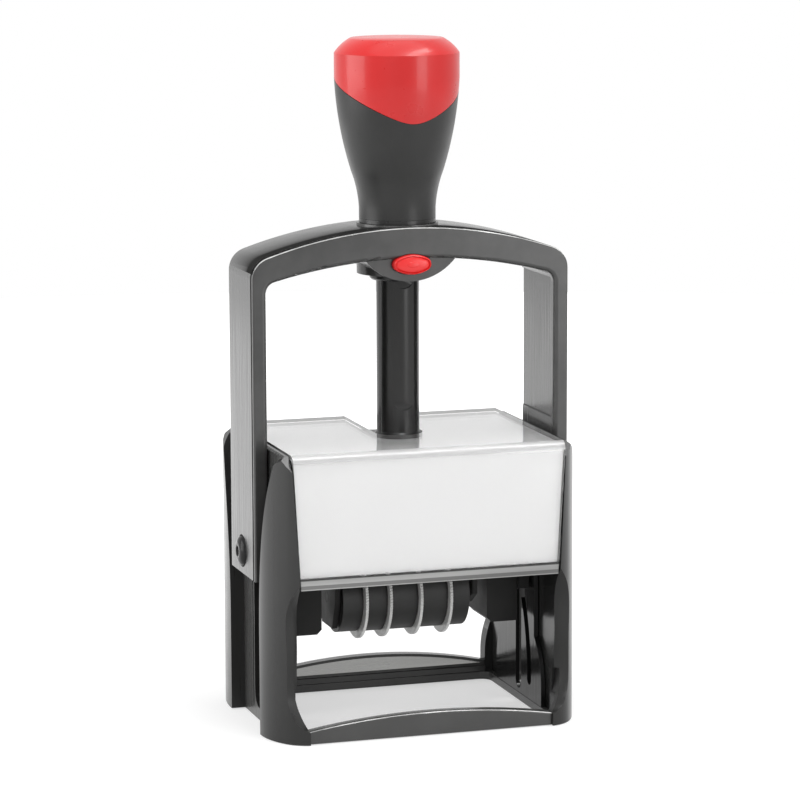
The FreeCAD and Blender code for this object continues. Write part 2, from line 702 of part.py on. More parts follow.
def build_steel_frame():
    """Bent steel frame: a top plate and two side plates with the axle slot and the S track."""
    body = new_body("steel_frame")
    half = size["plate_half_depth"]
    pad(body, "XZ_Plane", -half, half, lambda s: draw_outline(s, [
        (-plate_out, size["ring_height"]), (-plate_in, size["ring_height"]),
        (-plate_in, frame_top_low), (plate_in, frame_top_low), (plate_in, size["ring_height"]),
        (plate_out, size["ring_height"]), (plate_out, frame_top), (-plate_out, frame_top)]))
    across = plate_out + 1
    for end in (-1, 1):
        pocket(body, "YZ_Plane", -across, across, lambda s: draw_plate_waist(s, end, half))
    pocket(body, "YZ_Plane", -across, across,
           lambda s: draw_long_hole(s, 0, slot_low, slot_high, slot_half))
    pocket(body, "YZ_Plane", -across, across, draw_track)
    pocket(body, "XY_Plane", frame_top_low - 1, frame_top + 1, lambda s: draw_flange_holes(s, 1.3))
    for side in (-1, 1):
        for end in (-1, 1):
            pad(body, "XY_Plane", runner_top - 1, runner_top, lambda s: draw_runner(s, side, end, half))


def draw_runner(sketch, side, end, half):
    """Plan of a tab bent inwards, which the pad cassette slides on."""
    xs = (plate_in - 1, plate_in + 0.5) if side > 0 else (-plate_in - 0.5, 1 - plate_in)
    ys = (half - 4.5, half - 0.5) if end > 0 else (0.5 - half, 4.5 - half)
    draw_box(sketch, xs[0], xs[1], ys[0], ys[1])


def draw_plate_waist(sketch, end, half):
    """Side view of what is cut off a side plate's edge between its foot and its head."""
    waist, head = size["plate_waist"], runner_top - 2.5
    draw_sided(sketch, end, [(half + 1, 7), (half + 1, head), (half, head), (waist, head - 4), (waist, 21),
                             (half, 7)], {4: Arc(18, False)})


def track_point(turned):
    """Place of the follower pin, front to back and up, once the carrier has turned so far."""
    arm, travel = float(follower_arm), float(stroke)
    drop = travel * turned / math.pi
    return Vector(arm * math.cos(turned), float(size["pivot_height"]) - drop + arm * math.sin(turned), 0)


def draw_track(sketch):
    """S-shaped track of the follower pin: a band of the pin's width along its path."""
    half_width = float(follower_gap)
    left, right = [], []
    steps = 10
    for step in range(steps + 1):
        turned = math.pi * step / steps
        here = track_point(turned)
        ahead = track_point(turned + 0.001) - track_point(turned - 0.001)
        side = Vector(-ahead.y, ahead.x, 0).normalize() * half_width
        left.append(here + side)
        right.append(here - side)
    start, end = track_point(0), track_point(math.pi)
    start_cap = start + Vector(0, half_width, 0)
    end_cap = end - Vector(0, half_width, 0)
    curves = [spline(left), Part.Arc(left[-1], end_cap, right[-1]), spline(right),
              Part.Arc(left[0], start_cap, right[0])]
    for curve in curves:
        place = sketch.addGeometry(curve, False)
        sketch.addConstraint(Sketcher.Constraint("Block", place))


def spline(points):
    """A smooth curve through points."""
    curve = Part.BSplineCurve()
    curve.interpolate(points)
    return curve


def draw_flange_holes(sketch, radius):
    """Four screw holes of the column's flange."""
    reach = size["flange_radius"] - 3
    for side_x in (-1, 1):
        for side_y in (-1, 1):
            draw_circle(sketch, reach * side_x * 0.7071, reach * side_y * 0.7071, radius)


def build_top_housing():
    """Black lid over the steel frame, with the column's hole and a notch at the back."""
    body = new_body("top_housing")
    wide = plate_out
    front, rear = cover_front - 3.2, bar_in
    wall = 1.8
    pad(body, "XY_Plane", frame_top, housing_top, lambda s: draw_box(s, -wide, wide, -front, rear))
    pocket(body, "XY_Plane", frame_top, housing_top - wall,
           lambda s: draw_box(s, wall - wide, wide - wall, wall - front, rear - wall))
    pocket(body, "XY_Plane", housing_top - wall - 1, housing_top + 1,
           lambda s: draw_circle(s, 0, 0, size["column_radius"] + size["seat_gap"]))
    notch = size["column_radius"] + 2.6
    notch_end = rear - 10.2
    pocket(body, "XY_Plane", frame_top, housing_top + 1,
           lambda s: draw_outline(s, [(-notch, notch_end), (notch, notch_end), (notch, rear + 1),
                                      (-notch, rear + 1)], {0: Arc(14)}))
    pad(body, "XY_Plane", flange_top + screw_head + size["seat_gap"], housing_top - wall,
        lambda s: draw_ring(s, size["column_radius"] + size["seat_gap"], size["column_radius"] + 2.2))


def draw_ring(sketch, inner, outer):
    """Two circles round the axis."""
    draw_circle(sketch, 0, 0, outer)
    draw_circle(sketch, 0, 0, inner)


def build_column():
    """Tube with a foot flange, a small flare at the cover and two latch notches."""
    body = new_body("column")
    wide, bore = size["column_radius"], size["column_bore"]
    flare_low, flare_high = card_bottom, cover_top + 0.5
    revolve(body, lambda s: draw_outline(s, [
        (0, frame_top), (size["flange_radius"], frame_top), (size["flange_radius"], flange_top),
        (wide, flange_top), (wide, flare_low), (wide + 0.45, flare_low), (wide + 0.45, flare_high - 0.6),
        (wide, flare_high), (wide, column_top), (bore, column_top),
        (bore, flange_top), (0, flange_top)]))
    for height in (button_height - stroke, button_height - 6.4):
        pocket(body, "XZ_Plane", -wide - 1, 0.7 - wide, lambda s: draw_latch_notch(s, height))
    pocket(body, "XY_Plane", frame_top - 1, flange_top + 1, lambda s: draw_flange_holes(s, 1.3))


def draw_latch_notch(sketch, height):
    """Front view of a latch notch: flat on top, round below."""
    half, cheek, sag = as_dim(2.85), 0.6, as_dim(1.8)
    top = height + 1.2
    curve = (half * half + sag * sag) / (sag * 2)
    draw_outline(sketch, [(-half, top), (-half, top - cheek), (0, top - cheek - sag), (half, top - cheek),
                          (half, top)], {1: Arc(curve), 2: Arc(curve)})


def build_flange_screws():
    """Four screws through the column's flange and the steel frame."""
    reach = (size["flange_radius"] - 3) * 0.7071
    screws = []
    for side_x in (-1, 1):
        for side_y in (-1, 1):
            centre = (reach * side_x, reach * side_y)
            shank = rod("flange_screw_shank", "z", 1.2, frame_top_low + 0.1, flange_top + 0.5, centre)
            head = rod("flange_screw_head", "z", 2.1, flange_top, flange_top + screw_head, centre)
            screws.append(fuse("flange_screw", shank, head))
    group = doc.addObject("Part::Compound", "flange_screws")
    group.Links = screws
    node(group, "flange_screws")


def build_clear_cover():
    """Clear L-shaped cover: top and front in one, open at the sides, notched for the column."""
    body = new_body("clear_cover")
    front, rear, wall = cover_front, cover_rear, size["cover_wall"]
    low, high = cover_bottom, cover_top
    pad(body, "XZ_Plane", -front, rear, lambda s: draw_outline(s, [
        (-cover_half_bottom, low), (cover_half_bottom, low), (cover_half_top, high), (-cover_half_top, high)]))
    across = cover_half_top + 1
    pocket(body, "YZ_Plane", -across, across,
           lambda s: draw_outline(s, [(wall - front, low - 1), (rear + 1, low - 1), (rear + 1, high - wall),
                                      (wall * 2 - front, high - wall), (wall - front, high - wall * 2)],
                                  {3: Arc(wall)}))
    round_edges(body, size["cover_round"], lambda e: is_along_x(e, -float(front), float(high)))
    pocket(body, "XY_Plane", high - wall - 1, high + 1, lambda s: draw_notch(s, 0.8))


def is_along_x(edge, y, z):
    """True for a straight edge along X at the given place."""
    box_ = edge.BoundBox
    flat = box_.YLength < 1e-4 and box_.ZLength < 1e-4
    return flat and abs(box_.YMin - y) < 1e-4 and abs(box_.ZMin - z) < 1e-4


def draw_notch(sketch, play):
    """Slot for the column, open at the back."""
    half = size["column_radius"] + play
    rear = cover_rear + 1
    draw_outline(sketch, [(-half, 0), (0, -half), (half, 0), (half, rear), (-half, rear)],
                 {0: Arc(half), 1: Arc(half)})


def build_index_card():
    """White card folded over the top and the front under the clear cover."""
    body = new_body("index_card")
    front = cover_front - size["cover_wall"] - size["card_gap"]
    rear, inset = cover_rear - size["card_inset"], size["card_inset"]
    low, high = cover_bottom + size["card_margin"], card_top
    thick, inner_round = size["card_thick"], size["card_round"] - size["card_thick"]
    low_half, high_half = cover_half_at(low) - inset, cover_half_at(high) - inset
    pad(body, "XZ_Plane", -front, rear, lambda s: draw_outline(s, [
        (-low_half, low), (low_half, low), (high_half, high), (-high_half, high)]))
    across = cover_half_top + 1
    pocket(body, "YZ_Plane", -across, across,
           lambda s: draw_outline(s, [(thick - front, low - 1), (rear + 1, low - 1), (rear + 1, high - thick),
                                      (thick - front + inner_round, high - thick),
                                      (thick - front, high - thick - inner_round)],
                                  {3: Arc(inner_round)}))
    round_edges(body, size["card_round"], lambda e: is_along_x(e, -float(front), float(high)))
    pocket(body, "XY_Plane", high - thick - 1, high + 1, lambda s: draw_notch(s, 1.0))


def cover_half_at(height):
    """Half the cover's width at a height."""
    share = (height - cover_bottom) / (cover_top - cover_bottom)
    return cover_half_bottom + size["cover_flare"] * share


# Pad cassette


def build_pad_cassette():
    """Drawer that holds the ink pad upside down, with a grip at the back."""
    body = new_body("pad_cassette")
    wide = plate_in - 0.35
    front = window_half_depth + 0.5
    rear = body_half_depth
    rim = pad_top - size["cassette_rim"]
    pad(body, "XY_Plane", rim, cassette_top, lambda s: draw_box(s, -wide, wide, -front, bar_in - 0.4))
    pocket(body, "XY_Plane", rim, pad_top,
           lambda s: draw_box(s, -die_half_width - 0.35, die_half_width + 0.35,
                              -die_half_depth - 1.4, die_half_depth + 1.4))
    grip_half = wide - 2
    pad(body, "XY_Plane", rim, cassette_top, lambda s: draw_outline(s, [
        (-grip_half, bar_in - 0.4), (grip_half, bar_in - 0.4), (grip_half - 2, rear), (2 - grip_half, rear)]))
    pocket(body, "XZ_Plane", rear - 1, rear + 1, lambda s: draw_finger_ribs(s, rim))


def draw_finger_ribs(sketch, rim):
    """Upright grooves of the finger grip."""
    for number in range(-4, 5):
        draw_box(sketch, number * 2.4 - 0.6, number * 2.4 + 0.6, rim + 1.2, cassette_top - 1.4)


def build_ink_pad():
    """Felt pad, its face just clear of the printing face at rest."""
    pad_box = box("ink_pad_box", -die_half_width - 0.2, die_half_width + 0.2,
                  -die_half_depth - 1.2, die_half_depth + 1.2, pad_face, pad_top)
    node(pad_box, "ink_pad")


# Bridge and handle


def build_bridge():
    """Stirrup of an arch and two arms, with the hub, the button boss and the axle holes."""
    body = new_body("bridge")
    half = size["arm_half_depth"]
    pad(body, "XZ_Plane", -half, half, draw_bridge)
    round_edges(body, size["bridge_corner"], lambda e: is_across(e, float(arm_out)))
    round_edges(body, size["bridge_inner_corner"], lambda e: is_across(e, float(arm_in)))
    round_edges(body, size["bridge_inner_round"], lambda e: is_loop(e, True, -1) or is_loop(e, True, 1))
    round_edges(body, size["bridge_front_round"], lambda e: is_loop(e, False, -1))
    round_edges(body, size["bridge_rear_round"], lambda e: is_loop(e, False, 1))
    near = size["groove_setback"] - half
    pocket(body, "XZ_Plane", near, near + size["groove_width"], lambda s: draw_groove(s, arm_bottom - 1))
    for side in (-1, 1):
        pocket(body, "YZ_Plane", *span_on(side, arm_in - 1, arm_in + size["recess_depth"]), lambda s: draw_box(
            s, size["recess_border"] - half, half + 1, cover_top + 3.5, bridge_underside - 7))
    pad(body, "XY_Plane", boss_bottom + 1.2, hub_top,
        lambda s: draw_circle(s, 0, 0, size["hub_radius"]))
    pad(body, "XZ_Plane", -size["boss_front"], size["boss_front"], draw_boss)
    pocket(body, "XY_Plane", boss_bottom - 1, hub_top + 1,
           lambda s: draw_circle(s, 0, 0, bush_out + size["seat_gap"] / 2))
    button_seat = size["boss_front"] - 2.4
    pocket(body, "XZ_Plane", -half - 1, -button_seat, lambda s: draw_oval(s, size["slide_gap"] / 2))
    pocket(body, "XZ_Plane", -button_seat - 1, -bush_bore, lambda s: draw_stem(s, size["slide_gap"] / 2))
    outer = arm_out + 1
    pocket(body, "YZ_Plane", -outer, outer,
           lambda s: draw_circle(s, 0, size["pivot_height"], size["pivot_radius"] + size["pin_gap"]))
    head = size["screw_head_radius"] + 0.3
    for side in (-1, 1):
        pocket(body, "YZ_Plane", *span_on(side, arm_out - size["counterbore"], outer),
               lambda s: draw_circle(s, 0, size["pivot_height"], head))


def arch_point(radius, top, x):
    """Height of an arch of the given radius and top at X."""
    return top - radius + root(radius * radius - x * x)


def draw_bridge(sketch):
    """Front view of the stirrup."""
    low = arm_bottom
    shoulder = arch_point(size["arch_outer"], bridge_top, arm_out)
    eave = arch_point(size["arch_inner"], bridge_underside, arm_in)
    draw_outline(sketch, [
        (-arm_out, low), (-arm_in, low), (-arm_in, eave), (arm_in, eave), (arm_in, low), (arm_out, low),
        (arm_out, shoulder), (-arm_out, shoulder)],
        {2: Arc(size["arch_inner"], False), 6: Arc(size["arch_outer"])})


def is_across(edge, x):
    """True for the bridge's upper corner edges, which run from front to back at X."""
    span = edge.BoundBox
    at_x = abs(abs(span.XMin) - x) < 1e-4 and span.XLength < 1e-4
    return at_x and span.ZLength < 1e-4 and span.ZMin > float(arm_bottom) + 1


def draw_groove(sketch, low):
    """Front view of the groove: the rim of the stirrup's outer edge."""
    outside = 3
    outer = arm_out + outside
    depth = size["groove_depth"]
    inner = arm_out - depth
    radius, top = size["arch_outer"] - depth, bridge_top - depth
    corner = size["bridge_corner"] + 1
    shoulder = inner - corner * 0.7
    shoulder_z = arch_point(radius, top, shoulder)
    corner_z = shoulder_z - corner * 0.95
    roof = bridge_top + outside
    draw_outline(sketch, [
        (-outer, low), (-inner, low), (-inner, corner_z), (-shoulder, shoulder_z), (shoulder, shoulder_z),
        (inner, corner_z), (inner, low), (outer, low), (outer, roof), (-outer, roof)],
        {2: Arc(corner, False), 3: Arc(radius, False), 4: Arc(corner, False)})


def is_loop(edge, inside, face):
    """True for the bridge's front (FACE -1) or rear edges round its finger opening or its outside."""
    span = edge.BoundBox
    on_face = abs(span.YMin - face * float(size["arm_half_depth"])) < 1e-4 and span.YLength < 1e-4
    foot = span.ZMax < float(arm_bottom) + 1e-4
    middle = edge.valueAt((edge.FirstParameter + edge.LastParameter) / 2)
    within = abs(middle.x) < float(arm_in) + 0.01 and middle.z < float(bridge_underside) + 0.01
    return on_face and not foot and within == inside


def draw_boss(sketch):
    """Lens-shaped boss of the lock button."""
    low, high = boss_bottom, boss_crown
    under, over = size["boss_curve"], size["boss_crown_curve"]
    low_centre, high_centre = low + under, high - over
    gap = low_centre - high_centre
    cross = (gap * gap + over * over - under * under) / (gap * 2)
    half = root(over * over - cross * cross)
    level = high_centre + cross
    draw_outline(sketch, [(-half, level), (0, low), (half, level), (0, high)],
                 {0: Arc(under), 1: Arc(under), 2: Arc(over), 3: Arc(over)})


def draw_oval(sketch, play):
    """Oval of the lock button: two round ends joined by two long flat rounds."""
    wide, tall = size["button_half_width"] + play, size["button_half_height"] + play
    end = size["button_end"] + play
    across = wide - end
    flat = (across * across + tall * tall - end * end) / ((tall - end) * 2)
    joint_x = across + end * across / (flat - end)
    joint_z = end * (flat - tall) / (flat - end)
    low, high = button_height - joint_z, button_height + joint_z
    draw_outline(sketch, [(-joint_x, low), (joint_x, low), (joint_x, high), (-joint_x, high)],
                 {0: Arc(flat), 1: Arc(end), 2: Arc(flat), 3: Arc(end)})


def draw_stem(sketch, play):
    """Latch stem behind the lock button."""
    wide, tall = play + 3, play + 1.5
    draw_box(sketch, -wide, wide, button_height - tall, button_height + tall)


def build_lock_button():
    """Oval push button with its latch stem."""
    body = new_body("lock_button")
    none = as_dim(0)
    face = size["boss_front"] + size["button_proud"]
    seat = size["boss_front"] - 0.4
    pad(body, "XZ_Plane", -face, -seat, lambda s: draw_oval(s, none))
    round_edges(body, 0.9, lambda e: abs(e.BoundBox.YMax + float(face)) < 1e-4)
    tip = size["column_radius"] + size["button_travel"] + 0.6
    pad(body, "XZ_Plane", -seat, -tip, lambda s: draw_stem(s, none))


def build_column_bush():
    """Guide bush between bridge and column, with a lip below the hub and the latch window."""
    body = new_body("column_bush")
    lip = bush_out
    low = bush_bottom
    revolve(body, lambda s: draw_outline(s, [
        (bush_bore, low), (lip - 0.5, low), (lip, low + 0.5), (lip, hub_top), (bush_bore, hub_top)]))
    pocket(body, "XZ_Plane", -bush_out - 1, -bush_bore + 1.5, lambda s: draw_stem(s, size["slide_gap"]))


def build_handle_collar():
    """Thin ring between bridge and grip."""
    ring = rod("handle_collar_ring", "z", size["neck_radius"], hub_top, neck_bottom, (0, 0))
    hole = rod("handle_collar_hole", "z", size["column_radius"] + 0.6, hub_top - 1, neck_bottom + 1, (0, 0))
    node(cut("handle_collar", ring, hole), "handle_collar")


def build_handle_core():
    """Tube inside the grip, which ties it to the bridge."""
    outer, inner = size["neck_radius"] - 1.7, size["column_radius"] + 0.6
    high = core_top
    tube = rod("handle_core_tube", "z", outer, neck_bottom, high, (0, 0))
    hole = rod("handle_core_hole", "z", inner, neck_bottom - 1, high + 1, (0, 0))
    node(cut("handle_core", tube, hole), "handle_core")


def knob_profile():
    """Half section of the handle: neck, waist, belly and flat crown, as a face in the XZ plane."""
    neck, head, crown = float(size["neck_radius"]), float(size["knob_radius"]), float(size["crown_radius"])
    low, top = float(neck_bottom), float(handle_top)
    shoulder = top - float(size["crown_drop"])
    waist, bend, brim = low + 2.9, low + 12.8, shoulder - 6.5
    bend_radius = neck + 0.32 * (head - neck)

    def at(radius, height):
        return Vector(radius, 0, height)

    hollow = Part.Arc(at(neck, waist), at(neck + 0.085 * (head - neck), (waist + bend) / 2 - 0.5),
                      at(bend_radius, bend))
    belly = Part.Arc(at(bend_radius, bend),
                     at(bend_radius + 0.62 * (head - bend_radius), bend + 0.434 * (brim - bend)), at(head, brim))
    chord = math.hypot(head - crown, top - shoulder)
    curve = float(size["crown_curve"])
    rise = curve - math.sqrt(curve ** 2 - (chord / 2) ** 2)
    slope = Vector(top - shoulder, 0, head - crown).normalize() * rise
    middle = at((head + crown) / 2, (shoulder + top) / 2) + slope
    edges = [
        Part.LineSegment(at(0, low), at(neck, low)),
        Part.LineSegment(at(neck, low), at(neck, waist)),
        hollow,
        belly,
        Part.LineSegment(at(head, brim), at(head, shoulder)),
        Part.Arc(at(head, shoulder), middle, at(crown, top)),
        Part.LineSegment(at(crown, top), at(0, top)),
        Part.LineSegment(at(0, top), at(0, low)),
    ]
    return Part.Face(Part.Wire([edge.toShape() for edge in edges]))


def seam_block(shift):
    """Everything above the seam of grip and cap, moved by SHIFT, as a prism along X.

    Seen from the side the seam is a parabola that stands upright at its front end.
    """
    head, front = float(size["knob_radius"]), float(size["cap_apex_reach"])
    low, high = float(cap_apex) + shift, float(cap_back) + shift
    side, roof = -head - 3, float(handle_top) + 5
    seam = Part.BezierCurve()
    seam.setPoles([Vector(side, -front, low), Vector(side, -front, (low + high) / 2), Vector(side, head, high)])
    corners = [Vector(side, head, high), Vector(side, head + 3, high), Vector(side, head + 3, roof),
               Vector(side, -head - 3, roof), Vector(side, -head - 3, low), Vector(side, -front, low)]
    edges = [seam.toShape()]
    for start, end in zip(corners, corners[1:]):
        edges.append(Part.LineSegment(start, end).toShape())
    return Part.Face(Part.Wire(edges)).extrude(Vector(-2 * side, 0, 0))


def build_handle():
    """Grip with its hollow for core, column and plunger, and the cap on top of it."""
    solid = knob_profile().revolve(Vector(0, 0, 0), Vector(0, 0, 1), 360)
    low = float(neck_bottom)
    core = float(size["neck_radius"]) - 1.7 + 0.1
    plug_low = float(handle_top) - float(size["plunger_drop"])
    hollow = Part.makeCylinder(core, float(core_top) - low + 0.2, Vector(0, 0, low))
    hollow = hollow.fuse(Part.makeCylinder(float(size["column_radius"]) + 0.6, plug_low - low, Vector(0, 0, low)))
    grip = solid.cut(seam_block(-0.1)).cut(hollow)
    cap = solid.common(seam_block(0.1)).cut(hollow)
    feature("handle_grip", largest_solid(grip))
    feature("handle_cap", largest_solid(cap))


def largest_solid(shape):
    """The one solid of a boolean's result."""
    return max(shape.Solids, key=lambda s: s.Volume)


def build_spring_plunger():
    """Rod from the cap down into the column, which pushes on the return spring."""
    body = new_body("spring_plunger")
    top = handle_top - size["plunger_drop"]
    head = size["column_radius"] + 0.5
    tip_top, tip_low = column_top - 9, column_top - 12
    tip = size["column_bore"] - 0.25
    revolve(body, lambda s: draw_outline(s, [
        (0, tip_low), (tip, tip_low), (tip, tip_top), (2.6, tip_top), (2.6, top - 2), (head, top - 2),
        (head, top), (0, top)]))


def build_return_spring():
    """Coil spring in the column, between its flange and the plunger."""
    wire = float(size["spring_wire"])
    coil = float(size["column_bore"]) - 0.35 - wire
    low = float(flange_top) + wire + 0.05
    high = float(column_top) - 12 - wire - 0.05
    turns = float(size["spring_turns"])
    helix = Part.makeHelix((high - low) / turns, high - low, coil)
    helix.translate(Vector(0, 0, low))
    sides = 6
    rim = [Vector(coil + wire * math.cos(turn), 0, low + wire * math.sin(turn))
           for turn in (2 * math.pi * side / sides for side in range(sides))]
    section = Part.makePolygon(rim + rim[:1])
    feature("return_spring", Part.Wire(helix).makePipeShell([section], True, True))


def build_axle_screw(label, side):
    """Domed screw through an arm, whose shank is the carrier's pivot."""
    height = (0, size["pivot_height"])
    seat = arm_out - size["counterbore"]
    shank_end = cheek_in + 0.3
    low, high = (shank_end, seat + 0.5) if side > 0 else (-seat - 0.5, -shank_end)
    shank = rod(label + "_shank", "x", size["pivot_radius"], low, high, height)
    proud = arm_out + size["screw_head_proud"]
    step = seat + (proud - seat) * 0.45
    span = (seat, step) if side > 0 else (-step, -seat)
    head = rod(label + "_head", "x", size["screw_head_radius"], span[0], span[1], height)
    inner, outer = size["screw_head_radius"], size["screw_head_radius"] - 2
    if side > 0:
        dome = cone(label + "_dome", "x", inner, outer, step, proud, height)
    else:
        dome = cone(label + "_dome", "x", outer, inner, -proud, -step, height)
    node(fuse(label + "_solid", shank, head, dome), label)


# Printing carrier


def build_carrier_frame():
    """Tray behind the text plate with two cheeks on the pivot and two end blocks."""
    body = new_body("carrier_frame")
    pivot = size["pivot_height"]
    pad(body, "XY_Plane", deck_low, deck_high,
        lambda s: draw_box(s, -die_half_width, die_half_width, -die_half_depth, die_half_depth))
    for side in (-1, 1):
        span = (cheek_in, cheek_out) if side > 0 else (-cheek_out, -cheek_in)
        pad(body, "YZ_Plane", span[0], span[1], draw_cheek)
        pad(body, "XZ_Plane", -size["block_half_depth"], size["block_half_depth"],
            lambda s: draw_end_block(s, side))
    pocket(body, "XY_Plane", deck_low - 1, deck_high + 1, lambda s: draw_date_window(s, 5.2))
    across = cheek_out + 1
    pocket(body, "YZ_Plane", -across, across,
           lambda s: draw_circle(s, 0, pivot, size["pivot_radius"] + size["pin_gap"]))
    pocket(body, "YZ_Plane", -across, across,
           lambda s: draw_circle(s, follower_arm, pivot, size["follower_radius"]))


def draw_cheek(sketch):
    """Side view of a cheek of the carrier."""
    pivot = size["pivot_height"]
    foot, reach = 9, follower_arm + 3.5
    draw_outline(sketch, [(-foot, pivot - 14), (foot, pivot - 14), (reach, pivot - 5), (reach, deck_high),
                          (-reach, deck_high), (-reach, pivot - 5)])


def draw_end_block(sketch, side):
    """Front view of an end block beside the date unit."""
    low, top = size["pivot_height"] - size["block_drop"], size["pivot_height"] - 8
    inner = size["block_inner"] - size["block_shift"] if side > 0 else size["block_inner"]
    outer, bevel = cheek_in + 0.2, 1.3
    draw_sided(sketch, side, [(inner + bevel, low), (outer, low), (outer, top), (inner, top),
                              (inner, low + bevel)])


def draw_date_window(sketch, half):
    """Window that the date bands come up through."""
    draw_box(sketch, date_left - 0.6, date_right + 0.6, -half, half)


def build_follower_pins():
    """Two pins that run in the S tracks of the steel frame."""
    pins = []
    for side in (-1, 1):
        low, high = (cheek_in, plate_out - 0.2) if side > 0 else (0.2 - plate_out, -cheek_in)
        pins.append(rod("follower_pin", "x", size["follower_radius"], low, high,
                        (follower_arm, size["pivot_height"])))
    group = doc.addObject("Part::Compound", "follower_pins")
    group.Links = pins
    node(group, "follower_pins")


def build_text_plate():
    """Metal plate that carries the rubber."""
    body = new_body("text_plate")
    pad(body, "XY_Plane", deck_high, text_plate_top,
        lambda s: draw_box(s, -die_half_width, die_half_width, -die_half_depth, die_half_depth))
    pocket(body, "XY_Plane", deck_high - 1, text_plate_top + 1, lambda s: draw_date_window(s, 4.6))


def build_text_die():
    """Rubber printing face, bare but for a raised border round its edge and the date window."""
    body = new_body("text_die")
    low, high = text_plate_top, size["pivot_height"] + size["die_reach"]
    floor = high - 0.7
    wide, deep = die_half_width, die_half_depth
    pad(body, "XY_Plane", low, floor, lambda s: draw_box(s, -wide, wide, -deep, deep))
    border = 1.2
    pad(body, "XY_Plane", floor, high, lambda s: draw_frame(s, -wide, wide, -deep, deep, border))
    left, right = date_left - 3, date_right + 3
    pad(body, "XY_Plane", floor, high, lambda s: draw_frame(s, left, right, -7.5, 7.5, border * 0.6))
    pocket(body, "XY_Plane", low - 1, high + 1, lambda s: draw_date_window(s, 4.6))


def draw_frame(sketch, x_low, x_high, y_low, y_high, border):
    """A rectangle with an even border."""
    draw_box(sketch, x_low, x_high, y_low, y_high)
    draw_box(sketch, as_dim(x_low) + border, as_dim(x_high) - border,
             as_dim(y_low) + border, as_dim(y_high) - border)


# Date unit

DRUM_GAP = 0.2
NOSE_LEG = 0.8


def disc_places():
    """Left faces of the four toothed discs, from left to right."""
    places = [float(date_left + size["spacer_width"]) + DRUM_GAP]
    for pitch in ("first_pitch", "second_pitch", "third_pitch"):
        places.append(places[-1] + float(size[pitch]))
    return places


def drum_span(number):
    """Where the drum to the right of a disc begins and ends."""
    places = disc_places()
    start = places[number] + float(size["wheel_disc"]) + DRUM_GAP
    last = number + 1 == len(places)
    end = float(date_right) - NOSE_LEG if last else places[number + 1]
    return start, end - DRUM_GAP


def build_date_housing():
    """Bracket under the carrier: two cheeks that hold the wheel axle and the band nose."""
    body = new_body("date_housing")
    wall = 1.5
    left, right = date_left - 0.3, date_right + 0.3
    pad(body, "XY_Plane", deck_low - 1.4, deck_low, lambda s: draw_box(s, left - wall, right + wall, -8.5, 8.5))
    pocket(body, "XY_Plane", deck_low - 3, deck_low + 1, lambda s: draw_box(s, left, right, -6.2, 6.2))
    pad(body, "YZ_Plane", left - wall, left, lambda s: draw_date_cheek(s, 5, 8))
    pad(body, "YZ_Plane", right, right + wall, lambda s: draw_date_cheek(s, 3.5, 3.4))
    across = size["date_left_reach"] + 4
    pocket(body, "YZ_Plane", -across, across,
           lambda s: draw_circle(s, 0, wheel_height, size["axle_radius"]))


def draw_date_cheek(sketch, toe, drop):
    """Side view of a cheek of the date unit, which ends TOE wide and DROP below the axle."""
    low = wheel_height - drop
    draw_outline(sketch, [(-toe, low), (toe, low), (8.5, wheel_height), (8.5, deck_low), (-8.5, deck_low),
                          (-8.5, wheel_height)])


def build_wheel_axle():
    """Axle of the four thumbwheels."""
    axle = rod("wheel_axle_rod", "x", size["axle_radius"], date_left - 1.8, date_right + 1.8, (0, wheel_height))
    node(axle, "wheel_axle")


def build_band_nose():
    """Bar that the four date bands turn round at the printing face."""
    height = nose_height()
    bar = rod("band_nose_bar", "x", size["nose_radius"], date_left - 0.3, date_right + 0.3, (0, height))
    foot = box("band_nose_foot", date_left - 0.3, date_right + 0.3, -0.6, 0.6, height - 6, height)
    leg_l = box("band_nose_leg_left", date_left - 0.3, date_left + 1.5, -6.2, 6.2, height - 7.5, height - 6)
    leg_r = box("band_nose_leg_right", date_right - NOSE_LEG, date_right + 0.3, -6.2, 6.2, height - 7.5, height - 6)
    node(fuse("band_nose_solid", bar, foot, leg_l, leg_r), "band_nose")


def nose_height():
    """Height of the band nose: its bands' outer face is the printing face."""
    return size["pivot_height"] + size["die_reach"] - size["band_thick"] - size["nose_radius"] - 0.1


def build_spacer():
    """Sleeve that fills the axle between the left cheek and the first disc."""
    left, right = date_left, date_left + size["spacer_width"]
    sleeve = rod("axle_spacer_sleeve", "x", size["drum_radius"] - 0.2, left, right, (0, wheel_height))
    hole = rod("axle_spacer_hole", "x", size["axle_radius"] + 0.02, left - 1, right + 1, (0, wheel_height))
    node(cut("axle_spacer", sleeve, hole), "axle_spacer")


def loop_wire(low_radius, high_radius, x):
    """Outline of a band round a big low circle and a small high one, at X."""
    low_z, high_z = float(wheel_height), float(nose_height())
    lean = math.asin((low_radius - high_radius) / (high_z - low_z))
    side, up = math.cos(lean), math.sin(lean)
    corners = [Vector(x, sign * radius * side, z + radius * up)
               for z, radius, sign in ((low_z, low_radius, 1), (high_z, high_radius, 1),
                                       (high_z, high_radius, -1), (low_z, low_radius, -1))]
    top = Vector(x, 0, high_z + high_radius)
    bottom = Vector(x, 0, low_z - low_radius)
    return Part.Wire([
        Part.LineSegment(corners[0], corners[1]).toShape(),
        Part.Arc(corners[1], top, corners[2]).toShape(),
        Part.LineSegment(corners[2], corners[3]).toShape(),
        Part.Arc(corners[3], bottom, corners[0]).toShape()])


